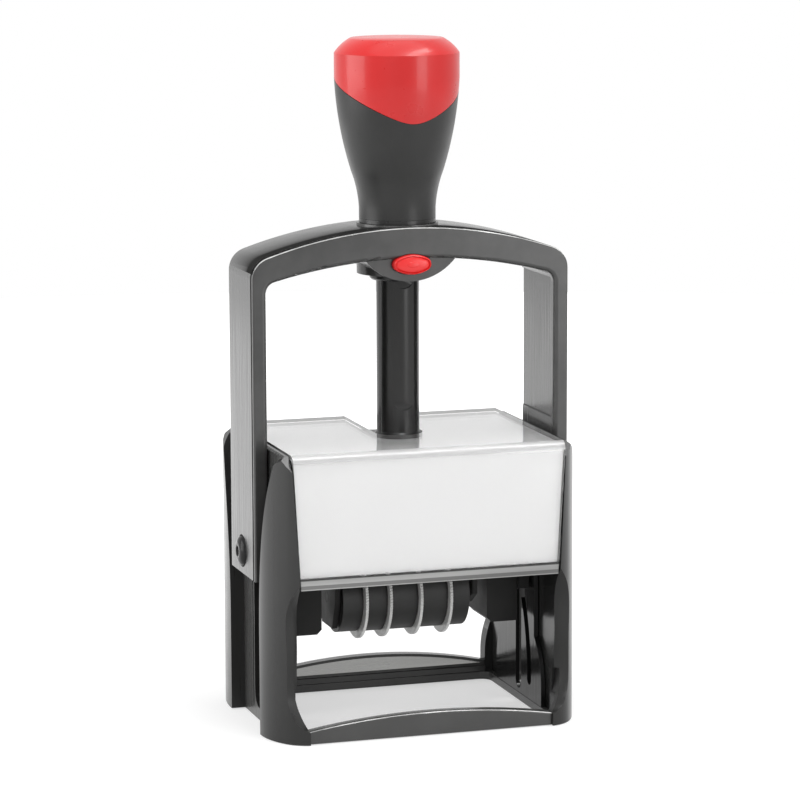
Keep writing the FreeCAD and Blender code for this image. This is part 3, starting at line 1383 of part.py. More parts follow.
def build_date_band(number):
    """Rubber band over the drum of one wheel and the band nose."""
    start, end = drum_span(number)
    thick = float(size["band_thick"])
    drum, nose = float(size["drum_radius"]), float(size["nose_radius"]) + 0.1
    outer = Part.Face(loop_wire(drum, nose + thick, start)).extrude(Vector(end - start, 0, 0))
    inner = Part.Face(loop_wire(drum - thick, nose, start - 1)).extrude(Vector(end - start + 2, 0, 0))
    feature("date_band_%d" % (number + 1), largest_solid(outer.cut(inner)))


def build_thumbwheel(number):
    """Toothed disc with the drum that drives its band."""
    left = disc_places()[number]
    thick = float(size["wheel_disc"])
    _, end = drum_span(number)
    outer, height = float(size["wheel_radius"]), float(wheel_height)
    root_radius = outer - float(size["tooth_depth"])
    teeth = int(float(size["wheel_teeth"]))
    points = []
    for tooth in range(teeth):
        for share, radius in ((0.0, root_radius), (0.35, outer), (0.65, outer)):
            angle = 2 * math.pi * (tooth + share) / teeth
            points.append(Vector(left, radius * math.cos(angle), height + radius * math.sin(angle)))
    disc = Part.Face(Part.makePolygon(points + points[:1])).extrude(Vector(thick, 0, 0))
    axis = Vector(1, 0, 0)
    hub_radius = float(size["drum_radius"]) - float(size["band_thick"]) - 0.1
    hub = Part.makeCylinder(hub_radius, end - left - thick, Vector(left + thick, 0, height), axis)
    bore_radius = float(size["axle_radius"]) + float(size["pin_gap"])
    bore = Part.makeCylinder(bore_radius, end - left + 2, Vector(left - 1, 0, height), axis)
    feature("thumbwheel_%d" % (number + 1), largest_solid(disc.fuse(hub).cut(bore)))


def check_document():
    """Stop if any object failed or any node is not a sound shape."""
    for thing in doc.Objects:
        if "Invalid" in thing.State or "Error" in thing.State:
            raise RuntimeError("%s (%s) failed" % (thing.Name, thing.Label))
    for thing in parts:
        if thing.Shape.isNull() or not thing.Shape.isValid() or not thing.Shape.Solids:
            raise RuntimeError("%s is not a sound solid" % thing.Label)


def main():
    """Build every piece and write one STEP file for each."""
    build_base_frame()
    build_front_bar()
    build_side_shell("left_side_shell", -1)
    build_side_shell("right_side_shell", 1)
    build_steel_frame()
    build_top_housing()
    build_column()
    build_flange_screws()
    build_return_spring()
    build_clear_cover()
    build_index_card()
    build_pad_cassette()
    build_ink_pad()
    build_bridge()
    build_column_bush()
    build_handle_collar()
    build_handle_core()
    build_handle()
    build_spring_plunger()
    build_lock_button()
    build_axle_screw("axle_screw_left", -1)
    build_axle_screw("axle_screw_right", 1)
    build_carrier_frame()
    build_follower_pins()
    build_text_plate()
    build_text_die()
    build_date_housing()
    build_wheel_axle()
    build_band_nose()
    build_spacer()
    for number in range(len(disc_places())):
        build_date_band(number)
        build_thumbwheel(number)
    doc.recompute()
    check_document()
    os.makedirs("parts", exist_ok=True)
    for thing in parts:
        thing.Shape.exportStep("parts/%s.step" % thing.Label)
    print("%d pieces written" % len(parts))


main()
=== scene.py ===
"""Self-inking date stamp: its finishes, its fine detail and the studio round it.

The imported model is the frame. Every piece is in metres, +Z up, the front towards -Y.
"""

import json
import logging
import math
from dataclasses import dataclass, field
from enum import Enum, IntEnum
from typing import Callable, ClassVar, Iterable, Optional, Sequence

import bmesh
import bpy
from mathutils import Matrix, Vector


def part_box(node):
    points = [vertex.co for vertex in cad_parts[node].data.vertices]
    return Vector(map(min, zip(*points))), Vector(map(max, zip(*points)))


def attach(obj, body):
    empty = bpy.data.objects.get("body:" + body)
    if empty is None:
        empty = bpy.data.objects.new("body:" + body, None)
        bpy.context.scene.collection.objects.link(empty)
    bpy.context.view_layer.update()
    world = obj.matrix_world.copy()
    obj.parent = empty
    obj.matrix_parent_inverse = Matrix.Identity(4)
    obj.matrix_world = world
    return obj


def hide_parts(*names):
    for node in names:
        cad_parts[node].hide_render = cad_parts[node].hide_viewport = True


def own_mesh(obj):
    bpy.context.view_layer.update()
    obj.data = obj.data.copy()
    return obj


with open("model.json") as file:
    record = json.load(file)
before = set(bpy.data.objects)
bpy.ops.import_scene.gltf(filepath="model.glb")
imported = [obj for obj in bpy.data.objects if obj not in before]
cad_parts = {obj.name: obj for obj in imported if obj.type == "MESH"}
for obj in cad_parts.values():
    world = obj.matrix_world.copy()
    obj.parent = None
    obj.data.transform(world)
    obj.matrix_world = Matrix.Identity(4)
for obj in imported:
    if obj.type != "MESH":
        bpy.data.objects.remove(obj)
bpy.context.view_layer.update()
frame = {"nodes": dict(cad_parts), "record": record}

COVER_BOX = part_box("clear_cover")
CARD_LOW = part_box("index_card")[0][2]
SHELL_INSIDE = min(abs(corner[0]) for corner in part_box("right_side_shell"))
MM = 0.001
SHARP_ANGLE = math.radians(32)
FLAT_ANGLE = math.radians(0.6)
JOIN_DISTANCE = 2e-6
WELD_DISTANCE = 1e-7
LIP_ROUND = 0.55 * MM
LIP_STEPS = 3
LOG = logging.getLogger("date_stamp")

# Least share of a face's normal along an axis, for a face that looks that way more or less exactly.
STRAIGHT = 0.999
SQUARE = 0.99
FACING = 0.9

# Sockets of a Mix node that mixes colours: its two colours and its result.
MIX_DARK, MIX_LIGHT, MIX_RESULT = 6, 7, 2

WHITE = (1.0, 1.0, 1.0, 1.0)

Color = tuple[float, float, float]
Point = tuple[float, float, float]
Range = tuple[float, float]
Tree = bpy.types.NodeTree
Socket = bpy.types.NodeSocket
Mesh = bmesh.types.BMesh
Face = bmesh.types.BMFace
Vert = bmesh.types.BMVert


class Surface(Enum):
    """How a moulded or rolled surface is textured."""

    POLISHED = "polished"
    SATIN = "satin"
    STREAKED = "streaked"
    SPARK = "spark"
    BRUSHED = "brushed"
    FELT = "felt"


class ShellSlot(IntEnum):
    """Numbers of a side shell's finishes."""

    BODY = 0
    # Darker inner walls: painted shade.
    INNER_PAINTED_SHADE = 1
    TOE = 2
    # Lighter channel: painted light in a recess.
    CHANNEL_PAINTED_LIGHT = 3


class StirrupSlot(IntEnum):
    """Numbers of the stirrup's finishes."""

    STIRRUP = 0
    ARM_SIDE = 1
    ARCH_TOP = 2
    # The rounded lip, painted with a highlight.
    PAINTED_LIP_HIGHLIGHT = 3


class CoverSlot(IntEnum):
    """Numbers of the cover's finishes."""

    CLEAR = 0
    RIM = 1
    RIM_PAINTED_HIGHLIGHT = 2
    # Painted highlight bands on the strip under the card.
    RIM_PAINTED_SHADOW = 3
    # Painted shadow under the card.
    FOLD = 4


def map_range(tree: Tree, value: Socket, source: Range, target: Range) -> Socket:
    """Map a value from one range to another.

    Args:
        tree: The node tree.
        value: The value.
        source: Range of the value.
        target: Range of the result.

    Returns:
        The mapped value.
    """
    spread = tree.nodes.new("ShaderNodeMapRange")
    for name, number in zip(("From Min", "From Max", "To Min", "To Max"), (*source, *target)):
        spread.inputs[name].default_value = number
    tree.links.new(value, spread.inputs["Value"])
    return spread.outputs["Result"]


@dataclass(frozen=True)
class Finish:
    """The look of one material: its colour, gloss and fine texture."""

    STRETCH: ClassVar[dict[Surface, Point]] = {Surface.STREAKED: (1.0, 1.0, 0.03),
                                               Surface.BRUSHED: (0.05, 1.0, 1.0)}
    COAT_ROUGHNESS: ClassVar[float] = 0.06
    CLOUD_MM: ClassVar[float] = 9.0
    NOISE_RANGE: ClassVar[Range] = (0.3, 0.7)
    # Specular levels of a painted sheen, from front to rear.
    PAINTED_SHEEN_LEVELS: ClassVar[Range] = (0.0, 0.75)
    RELIEF_DEPTH: ClassVar[float] = 0.3

    name: str
    color: Color
    roughness: float
    surface: Surface = Surface.SATIN
    metallic: float = 0.0
    coat: float = 0.0
    variation: float = 0.08
    bump: float = 0.08
    grain_mm: float = 0.35
    ior: float = 1.38
    transmission: float = 0.0
    # Front and rear ends, along Y in mm, of a painted sheen.
    painted_sheen_mm: Optional[Range] = None

    def material(self) -> bpy.types.Material:
        """Make the node material, or return the one already made.

        Returns:
            The material.
        """
        title = self.name + "_finish"
        known = bpy.data.materials.get(title)
        if known:
            return known
        material = bpy.data.materials.new(title)
        material.use_nodes = True
        tree = material.node_tree
        shader = tree.nodes["Principled BSDF"]
        shader.inputs["Metallic"].default_value = self.metallic
        shader.inputs["IOR"].default_value = self.ior
        shader.inputs["Coat Weight"].default_value = self.coat
        shader.inputs["Coat Roughness"].default_value = self.COAT_ROUGHNESS
        shader.inputs["Transmission Weight"].default_value = self.transmission
        place = tree.nodes.new("ShaderNodeTexCoord").outputs["Object"]
        self._add_tone(tree, shader, place)
        self._add_gloss(tree, shader, place)
        self._add_relief(tree, shader, place)
        # Painted sheen, where the finish has one.
        if self.painted_sheen_mm:
            self._add_painted_sheen(tree, shader, place)
        return material

    def _noise(self, tree: Tree, place: Socket, size_mm: float, detail: float) -> Socket:
        """Add a noise texture.

        Args:
            tree: The material's node tree.
            place: Coordinates in metres.
            size_mm: Size of one cell.
            detail: Levels of finer noise.

        Returns:
            The noise value, about 0 to 1.
        """
        mapping = tree.nodes.new("ShaderNodeMapping")
        stretch = Vector(self.STRETCH.get(self.surface, (1.0, 1.0, 1.0)))
        mapping.inputs["Scale"].default_value = stretch / (size_mm * MM)
        tree.links.new(place, mapping.inputs["Vector"])
        noise = tree.nodes.new("ShaderNodeTexNoise")
        noise.inputs["Scale"].default_value = 1.0
        noise.inputs["Detail"].default_value = detail
        tree.links.new(mapping.outputs["Vector"], noise.inputs["Vector"])
        return noise.outputs["Fac"]

    def _add_tone(self, tree: Tree, shader: bpy.types.Node, place: Socket) -> None:
        """Give the base colour a slight cloudiness.

        Args:
            tree: The material's node tree.
            shader: The surface shader.
            place: Coordinates in metres.
        """
        cloud = self._noise(tree, place, self.CLOUD_MM, detail=3.0)
        mix = tree.nodes.new("ShaderNodeMix")
        mix.data_type = "RGBA"
        dark = [channel * (1 - self.variation) for channel in self.color]
        light = [min(1.0, channel * (1 + self.variation)) for channel in self.color]
        mix.inputs[MIX_DARK].default_value = (*dark, 1.0)
        mix.inputs[MIX_LIGHT].default_value = (*light, 1.0)
        tree.links.new(map_range(tree, cloud, self.NOISE_RANGE, (0.0, 1.0)), mix.inputs[0])
        tree.links.new(mix.outputs[MIX_RESULT], shader.inputs["Base Color"])

    def _add_gloss(self, tree: Tree, shader: bpy.types.Node, place: Socket) -> None:
        """Let the roughness vary a little, as handling and moulding leave it.

        Args:
            tree: The material's node tree.
            shader: The surface shader.
            place: Coordinates in metres.
        """
        size_mm, spread = (0.9, 0.25) if self.surface in self.STRETCH else (5.0, 0.12)
        smear = self._noise(tree, place, size_mm, detail=4.0)
        limits = (self.roughness * (1 - spread), self.roughness * (1 + spread))
        tree.links.new(map_range(tree, smear, self.NOISE_RANGE, limits), shader.inputs["Roughness"])

    def _add_relief(self, tree: Tree, shader: bpy.types.Node, place: Socket) -> None:
        """Add the fine relief of the surface.

        Args:
            tree: The material's node tree.
            shader: The surface shader.
            place: Coordinates in metres.
        """
        bump = tree.nodes.new("ShaderNodeBump")
        bump.inputs["Strength"].default_value = self.bump
        bump.inputs["Distance"].default_value = self.grain_mm * MM * self.RELIEF_DEPTH
        if self.surface is Surface.SPARK:
            cells = tree.nodes.new("ShaderNodeTexVoronoi")
            cells.inputs["Scale"].default_value = 1.0 / (self.grain_mm * MM)
            tree.links.new(place, cells.inputs["Vector"])
            height = cells.outputs["Distance"]
        else:
            detail = 5.0 if self.surface is Surface.FELT else 2.0
            height = self._noise(tree, place, self.grain_mm, detail)
        tree.links.new(height, bump.inputs["Height"])
        tree.links.new(bump.outputs["Normal"], shader.inputs["Normal"])

    def _add_painted_sheen(self, tree: Tree, shader: bpy.types.Node, place: Socket) -> None:
        """Paint a sheen that grows from front to rear, a painted reflection as of a slightly rounded
        top.

        Args:
            tree: The material's node tree.
            shader: The surface shader.
            place: Coordinates in metres.
        """
        parts = tree.nodes.new("ShaderNodeSeparateXYZ")
        tree.links.new(place, parts.inputs[0])
        depth = (self.painted_sheen_mm[0] * MM, self.painted_sheen_mm[1] * MM)
        sheen = map_range(tree, parts.outputs["Y"], depth, self.PAINTED_SHEEN_LEVELS)
        tree.links.new(sheen, shader.inputs["Specular IOR Level"])


class Palette:
    """Every finish of the stamp."""

    BODY = Finish("body_plastic", (0.016, 0.016, 0.0155), 0.20, bump=0.06, ior=1.40)
    TOE = Finish("toe_plastic", (0.024, 0.024, 0.0235), 0.36, Surface.STREAKED, bump=0.10, ior=1.30)
    # Lighter, streaked plastic in the arm's channel: painted light in a recess.
    CHANNEL_PAINTED_LIGHT = Finish("channel_painted_light", (0.045, 0.045, 0.044), 0.26, Surface.STREAKED, variation=0.4,
                     bump=0.3, grain_mm=0.9)
    # Light grey painted highlight for the rounding between front and top.
    PAINTED_LIP_HIGHLIGHT = Finish("lip_painted_highlight", (0.55, 0.55, 0.545), 0.16, variation=0.5, bump=0.02)
    BAR = Finish("bar_plastic", (0.055, 0.055, 0.054), 0.22, bump=0.06, ior=1.45)
    # Darker, less glossy plastic for walls facing the window: painted shade.
    INNER_PAINTED_SHADE = Finish("inner_painted_shade", (0.008, 0.008, 0.008), 0.26, Surface.STREAKED, ior=1.25)
    STIRRUP = Finish("stirrup_plastic", (0.040, 0.040, 0.0393), 0.24, Surface.SPARK, variation=0.22,
                     bump=0.05, grain_mm=0.3, ior=1.46)
    # Darker arch top with a painted sheen that grows from front to rear.
    ARCH_TOP = Finish("arch_top_plastic", (0.024, 0.024, 0.0235), 0.22, bump=0.05, ior=1.40,
                      painted_sheen_mm=(-7.0, 12.0))
    ARM_SIDE = Finish("arm_side_plastic", (0.046, 0.046, 0.0453), 0.22, Surface.STREAKED, bump=0.30,
                      grain_mm=0.7, ior=1.50)
    COLUMN = Finish("column_plastic", (0.014, 0.014, 0.0137), 0.20, Surface.STREAKED, bump=0.10,
                    ior=1.33)
    GRIP = Finish("grip_plastic", (0.021, 0.021, 0.0206), 0.34, Surface.SPARK, bump=0.06, grain_mm=0.25,
                  ior=1.33)
    RED = Finish("red_plastic", (0.54, 0.014, 0.014), 0.30, coat=0.15, variation=0.03, bump=0.02,
                 ior=1.36)
    BUTTON = Finish("button_plastic", (0.74, 0.024, 0.024), 0.22, variation=0.03, bump=0.02, ior=1.4)
    STEEL = Finish("black_steel", (0.008, 0.008, 0.008), 0.16, Surface.STREAKED, bump=0.12, grain_mm=1.2,
                   ior=1.36)
    SCREW = Finish("screw_steel", (0.014, 0.014, 0.014), 0.12, Surface.BRUSHED, bump=0.04, ior=1.24)
    SPRING = Finish("spring_steel", (0.55, 0.55, 0.56), 0.25, Surface.BRUSHED, metallic=1.0)
    CARD = Finish("card", (0.48, 0.48, 0.48), 0.75, Surface.FELT, variation=0.01, bump=0.05,
                  grain_mm=0.2)
    CLEAR = Finish("clear_plastic", (1.0, 1.0, 1.0), 0.03, Surface.POLISHED, coat=1.0, variation=0.0,
                   bump=0.01, ior=1.0, transmission=1.0)
    FOLD = Finish("cover_fold", (0.70, 0.70, 0.70), 0.10, Surface.BRUSHED, coat=1.0, variation=0.05,
                  bump=0.03, ior=1.0, transmission=0.6)
    RIM = Finish("cover_edge", (0.13, 0.13, 0.128), 0.20, Surface.BRUSHED, variation=0.5, bump=0.12,
                 grain_mm=0.8)
    # Painted highlight bands on the strip under the card.
    RIM_PAINTED_HIGHLIGHT = Finish("cover_edge_painted_highlight", (0.30, 0.30, 0.296), 0.20, Surface.BRUSHED, variation=0.5,
                       bump=0.12, grain_mm=0.8)
    # Painted shadow under the card.
    RIM_PAINTED_SHADOW = Finish("cover_edge_painted_shadow", (0.035, 0.035, 0.034), 0.20, Surface.BRUSHED, bump=0.05)
    # Bright brushed metal for the rear bar's strip: a painted reflection.
    PAINTED_REFLECTION_STRIP = Finish("window_strip_painted_reflection", (0.42, 0.42, 0.41), 0.24, Surface.BRUSHED, metallic=1.0, bump=0.1,
                   grain_mm=0.8)
    CASSETTE = Finish("cassette_plastic", (0.014, 0.014, 0.014), 0.3, Surface.SPARK, bump=0.06)
    FELT = Finish("felt", (0.02, 0.02, 0.024), 0.9, Surface.FELT, variation=0.3, bump=0.6, grain_mm=0.4)
    BUSH = Finish("bush_plastic", (0.012, 0.012, 0.012), 0.26)
    PLUNGER = Finish("plunger_plastic", (0.2, 0.2, 0.2), 0.4)
    CARRIER = Finish("carrier_plastic", (0.028, 0.028, 0.0276), 0.40, bump=0.05, ior=1.12)
    PLATE = Finish("plate_metal", (0.72, 0.72, 0.73), 0.3, Surface.BRUSHED, metallic=1.0)
    RUBBER = Finish("die_rubber", (0.32, 0.10, 0.085), 0.6, Surface.SPARK, bump=0.1)
    AXLE = Finish("axle_steel", (0.5, 0.5, 0.51), 0.22, Surface.BRUSHED, metallic=1.0)
    BAND = Finish("band_rubber", (0.028, 0.028, 0.0275), 0.42, Surface.SPARK, ior=1.3)
    WHEEL = Finish("wheel_plastic", (0.66, 0.66, 0.65), 0.34, bump=0.06)


@dataclass
class Workshop:
    """Turns meshes into pieces that ride on the frame's bodies."""

    edge_round: float = 0.22 * MM
    bevel_steps: int = 2

    def body_of(self, node: str) -> str:
        """Body that carries a node.

        Args:
            node: Name of a node of the frame.

        Returns:
            The body's name.
        """
        bodies = frame["record"]["behaviour"]["bodies"]
        return next(body for body, members in bodies.items() if node in members)

    def add(self, name: str, mesh: Mesh, finishes: Sequence[Finish],
            node: str) -> bpy.types.Object:
        """Make an object of a mesh and let it ride with a node's body.

        Args:
            name: Name of the piece.
            mesh: The mesh, which is freed.
            finishes: One finish for each material index of the mesh.
            node: The node whose body the piece shares.

        Returns:
            The object.
        """
        data = bpy.data.meshes.new(name)
        mesh.to_mesh(data)
        mesh.free()
        for finish in finishes:
            data.materials.append(finish.material())
        piece = bpy.data.objects.new(name, data)
        bpy.context.scene.collection.objects.link(piece)
        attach(piece, self.body_of(node))
        return piece

    def copy_node(self, node: str) -> Mesh:
        """Copy a node's mesh as a clean one, with its corners joined and its flats in one face.

        Args:
            node: Name of a node of the frame.

        Returns:
            The new mesh.
        """
        mesh = bmesh.new()
        mesh.from_mesh(frame["nodes"][node].data)
        tidy_mesh(mesh)
        return mesh

    def shade(self, piece: bpy.types.Object, edge_round: Optional[float] = None,
              flat: bool = False) -> None:
        """Shade a piece smooth between its sharp edges, and round those edges.

        Args:
            piece: The piece.
            edge_round: Width of the rounding in metres, or 0 for none.
            flat: Whether faces that look straight ahead are shaded flat.
        """
        data = piece.data
        work = bmesh.new()
        work.from_mesh(data)
        for face in work.faces:
            face.smooth = not (flat and abs(face.normal.y) > STRAIGHT)
        for edge in work.edges:
            edge.smooth = len(edge.link_faces) == 2 and edge.calc_face_angle(0.0) < SHARP_ANGLE
        work.to_mesh(data)
        work.free()
        width = self.edge_round if edge_round is None else edge_round
        if width > 0:
            bevel = piece.modifiers.new("edge_round", "BEVEL")
            bevel.width = width
            bevel.segments = self.bevel_steps
            bevel.limit_method = "ANGLE"
            bevel.angle_limit = SHARP_ANGLE
            bevel.harden_normals = True
            bevel.miter_outer = "MITER_ARC"

    def dress(self, node: str, finish: Finish, edge_round: Optional[float] = None,
              paint: Optional[Callable[[Face], int]] = None,
              others: Sequence[Finish] = (),
              carve: Optional[Callable[[Mesh], None]] = None,
              flat: bool = False) -> bpy.types.Object:
        """Replace a node by a finer copy of itself with rounded edges and a finish.

        Args:
            node: The node.
            finish: The main finish.
            edge_round: Width of the rounding in metres, or 0 for none.
            paint: Gives a face the number of its finish, where it has several.
            others: The finishes after the main one.
            carve: Adds detail to the copy before it is painted.
            flat: Whether faces that look straight ahead are shaded flat.

        Returns:
            The new piece.
        """
        mesh = self.copy_node(node)
        if carve:
            carve(mesh)
        if paint:
            for face in mesh.faces:
                face.material_index = paint(face)
        piece = self.add(node + "_look", mesh, (finish, *others), node)
        self.shade(piece, edge_round, flat)
        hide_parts(node)
        LOG.info("%s: %d faces", node, len(piece.data.polygons))
        return piece


def cut_levels(mesh: Mesh, levels: Iterable[float]) -> None:
    """Cut a mesh's faces, and keep both sides, at several heights.

    Args:
        mesh: The mesh.
        levels: Heights in metres.
    """
    for level in levels:
        everything = mesh.verts[:] + mesh.edges[:] + mesh.faces[:]
        bmesh.ops.bisect_plane(mesh, geom=everything, dist=WELD_DISTANCE, plane_co=(0, 0, level),
                               plane_no=(0, 0, 1))


def tidy_mesh(mesh: Mesh) -> None:
    """Join a mesh's doubled corners and bring its flats into one face each.

    Args:
        mesh: The mesh.
    """
    bmesh.ops.remove_doubles(mesh, verts=mesh.verts[:], dist=JOIN_DISTANCE)
    bmesh.ops.dissolve_degenerate(mesh, edges=mesh.edges[:], dist=JOIN_DISTANCE / 2)
    bmesh.ops.dissolve_limit(mesh, angle_limit=FLAT_ANGLE, verts=mesh.verts[:], edges=mesh.edges[:],
                             use_dissolve_boundaries=False)


def cut_out(mesh: Mesh, cutter: Mesh) -> None:
    """Take a closed shape away from a mesh.

    Args:
        mesh: The mesh that is cut.
        cutter: The shape, which is freed.
    """
    things = []
    for name, part in (("work", mesh), ("cutter", cutter)):
        thing = bpy.data.objects.new(name, bpy.data.meshes.new(name))
        part.to_mesh(thing.data)
        bpy.context.scene.collection.objects.link(thing)
        things.append(thing)
    cutter.free()
    cut = things[0].modifiers.new("cut", "BOOLEAN")
    cut.operation, cut.solver, cut.object = "DIFFERENCE", "EXACT", things[1]
    graph = bpy.context.evaluated_depsgraph_get()
    done = bpy.data.meshes.new_from_object(things[0].evaluated_get(graph))
    mesh.clear()
    mesh.from_mesh(done)
    tidy_mesh(mesh)
    for thing in things:
        data = thing.data
        bpy.data.objects.remove(thing)
        bpy.data.meshes.remove(data)
    bpy.data.meshes.remove(done)


def round_lip(mesh: Mesh, above: float) -> None:
    """Round the edges where a front meets a top.

    Args:
        mesh: The mesh.
        above: Height in metres above which such an edge is rounded.
    """
    lips = []
    for edge in mesh.edges:
        if len(edge.link_faces) == 2 and min(vert.co.z for vert in edge.verts) > above:
            front, top = sorted(edge.link_faces, key=lambda face: face.normal.y)
            if front.normal.y < -0.8 and top.normal.z > 0.5 and top.normal.y > -0.5:
                lips.append(edge)
    bmesh.ops.bevel(mesh, geom=lips, offset=LIP_ROUND, offset_type="OFFSET", segments=LIP_STEPS,
                    profile=0.5, affect="EDGES", clamp_overlap=True, material=-1)


def gets_painted_highlight(face: Face) -> bool:
    """Whether a face is the middle of a rounding between front and top, which gets a painted highlight.
    """
    return face.normal.y < -0.35 and face.normal.z > 0.35


def turned_on_x(profile: Sequence[Range], height: float, steps: int = 56) -> Mesh:
    """Turn a profile round an axis along X.

    Args:
        profile: Places along X and distances from the axis, in metres.
        height: Height of the axis.
        steps: Steps of the full turn.

    Returns:
        The closed mesh.
    """
    mesh = bmesh.new()
    points = [mesh.verts.new((along, 0.0, height + away)) for along, away in profile]
    edges = [mesh.edges.new(pair) for pair in zip(points, points[1:])]
    bmesh.ops.spin(mesh, geom=points + edges, cent=(0, 0, height), axis=(1, 0, 0), angle=math.tau,
                   steps=steps, use_merge=True, use_normal_flip=False, use_duplicate=False)
    bmesh.ops.remove_doubles(mesh, verts=mesh.verts[:], dist=WELD_DISTANCE)
    bmesh.ops.recalc_face_normals(mesh, faces=mesh.faces[:])
    return mesh


@dataclass
class Body:
    """Base, side shells, steel frame, lid and column."""

    shop: Workshop
    travel: float = 40.0 * MM
    seam: float = 34.5 * MM
    foot_low: float = 3.5 * MM
    foot_blend: float = 11.5 * MM
    toe_front: float = -35.0 * MM
    toe_length: float = 11.0 * MM
    toe_reach: float = 6.0 * MM
    toe_steps: int = 16
    toe_rear: float = -22.0 * MM
    pillar_low: float = 60.0 * MM
    rear_rib: float = 5.0 * MM
    channel_reach: float = 15.0 * MM
    inner_depth: float = 1.0 * MM
    rear_wall: float = 26.5 * MM
    rear_wall_foot: float = 2.3 * MM
    # Where the painted reflection strip starts on the rear bar's wall, and the border and depth of its
    # inset.
    strip_wall: float = 27.25 * MM
    strip_border: float = 0.8 * MM
    strip_depth: float = 0.1 * MM

    def build(self) -> None:
        """Dress every fixed piece."""
        # The rear bar's wall gets a strip with a painted reflection.
        self.shop.dress("base_frame", Palette.BAR, 0.15 * MM, paint=self._painted_reflection_strip,
                        others=(Palette.PAINTED_REFLECTION_STRIP,), carve=self._inset_rear_bar)
        # The bar's rounded lip gets a painted highlight.
        self.shop.dress("front_bar", Palette.BAR, 0.2 * MM, paint=lambda face: int(gets_painted_highlight(face)),
                        others=(Palette.PAINTED_LIP_HIGHLIGHT,), flat=True,
                        carve=lambda mesh: round_lip(mesh, self.foot_low))
        for node in ("left_side_shell", "right_side_shell"):
            self.shop.dress(node, Palette.BODY, paint=self._shell_side, carve=self._hollow_toe,
                            others=(Palette.INNER_PAINTED_SHADE, Palette.TOE, Palette.CHANNEL_PAINTED_LIGHT))
        self.shop.dress("steel_frame", Palette.STEEL, 0.1 * MM)
        # The top housing takes the same dark finish that paints shade on the shells' inner walls.
        self.shop.dress("top_housing", Palette.INNER_PAINTED_SHADE)
        self.shop.dress("column", Palette.COLUMN, 0.1 * MM)
        self.shop.dress("flange_screws", Palette.SCREW, 0.0)
        spring = self.shop.dress("return_spring", Palette.SPRING, 0.0)
        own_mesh(spring)

    def _is_rear_wall(self, face: Face) -> bool:
        """Whether a face is the rear bar's wall towards the window."""
        middle = face.calc_center_median()
        behind = middle.y > self.rear_wall and middle.z > self.rear_wall_foot
        return behind and face.normal.y < -SQUARE

    def _inset_rear_bar(self, mesh: Mesh) -> None:
        """Give the rear bar's wall a border, inside which its strip gets a painted reflection."""
        walls = [face for face in mesh.faces if self._is_rear_wall(face)]
        bmesh.ops.inset_region(mesh, faces=walls, thickness=self.strip_border, depth=-self.strip_depth,
                               use_even_offset=True)

    def _painted_reflection_strip(self, face: Face) -> int:
        """Number of a bar face's finish: the rear bar's wall towards the window gets a bright metal
        strip, a painted reflection.
        """
        return int(self._is_rear_wall(face) and face.calc_center_median().y > self.strip_wall)

    def _hollow_toe(self, mesh: Mesh) -> None:
        """Hollow the inner side of a front foot, where it runs into its pillar.

        Args:
            mesh: The side shell's mesh.
        """
        wall = min(abs(vert.co.x) for vert in mesh.verts if vert.co.z > self.pillar_low)
        side = math.copysign(1.0, sum(vert.co.x for vert in mesh.verts))
        top = self.foot_low + self.foot_blend
        reach = wall - self.seam
        curve = (self.foot_blend ** 2 + reach ** 2) / (2 * reach)
        inmost = self.seam - self.toe_reach
        outline = [(inmost, top), (inmost, self.foot_low)]
        for step in range(self.toe_steps + 1):
            drop = self.foot_blend * (1 - step / self.toe_steps)
            outline.append((wall - curve + math.sqrt(curve ** 2 - drop ** 2), top - drop))
        cutter = bmesh.new()
        face = cutter.faces.new([cutter.verts.new((side * x, self.toe_front, z)) for x, z in outline])
        made = bmesh.ops.extrude_face_region(cutter, geom=[face], use_keep_orig=True)["geom"]
        bmesh.ops.translate(cutter, vec=(0, self.toe_length, 0),
                            verts=[part for part in made if isinstance(part, Vert)])
        bmesh.ops.recalc_face_normals(cutter, faces=cutter.faces[:])
        cut_out(mesh, cutter)

    def _shell_side(self, face: Face) -> int:
        """Pick the finish of a shell's face.

        Args:
            face: The face.

        Returns:
            The toe's finish for the foot's inner side and the front of the rear rib, a lighter one with
            painted light for the arm's channel, a darker one with painted shade for the walls beside
            the window, otherwise the body's.
        """
        middle, normal = face.calc_center_median(), face.normal
        inwards = normal.x * middle.x < 0
        sideways = abs(normal.x) > 0.5
        if inwards and middle.y < self.toe_rear and middle.z < self.pillar_low:
            return ShellSlot.TOE
        if normal.y < -0.5 and middle.y > self.rear_rib:
            return ShellSlot.TOE
        # Painted light in the arm's channel.
        if not inwards and sideways and abs(middle.y) < self.channel_reach:
            return ShellSlot.CHANNEL_PAINTED_LIGHT
        # Painted shade on the walls beside the window.
        if inwards and sideways and abs(middle.x) < SHELL_INSIDE + self.inner_depth:
            return ShellSlot.INNER_PAINTED_SHADE
        return ShellSlot.BODY


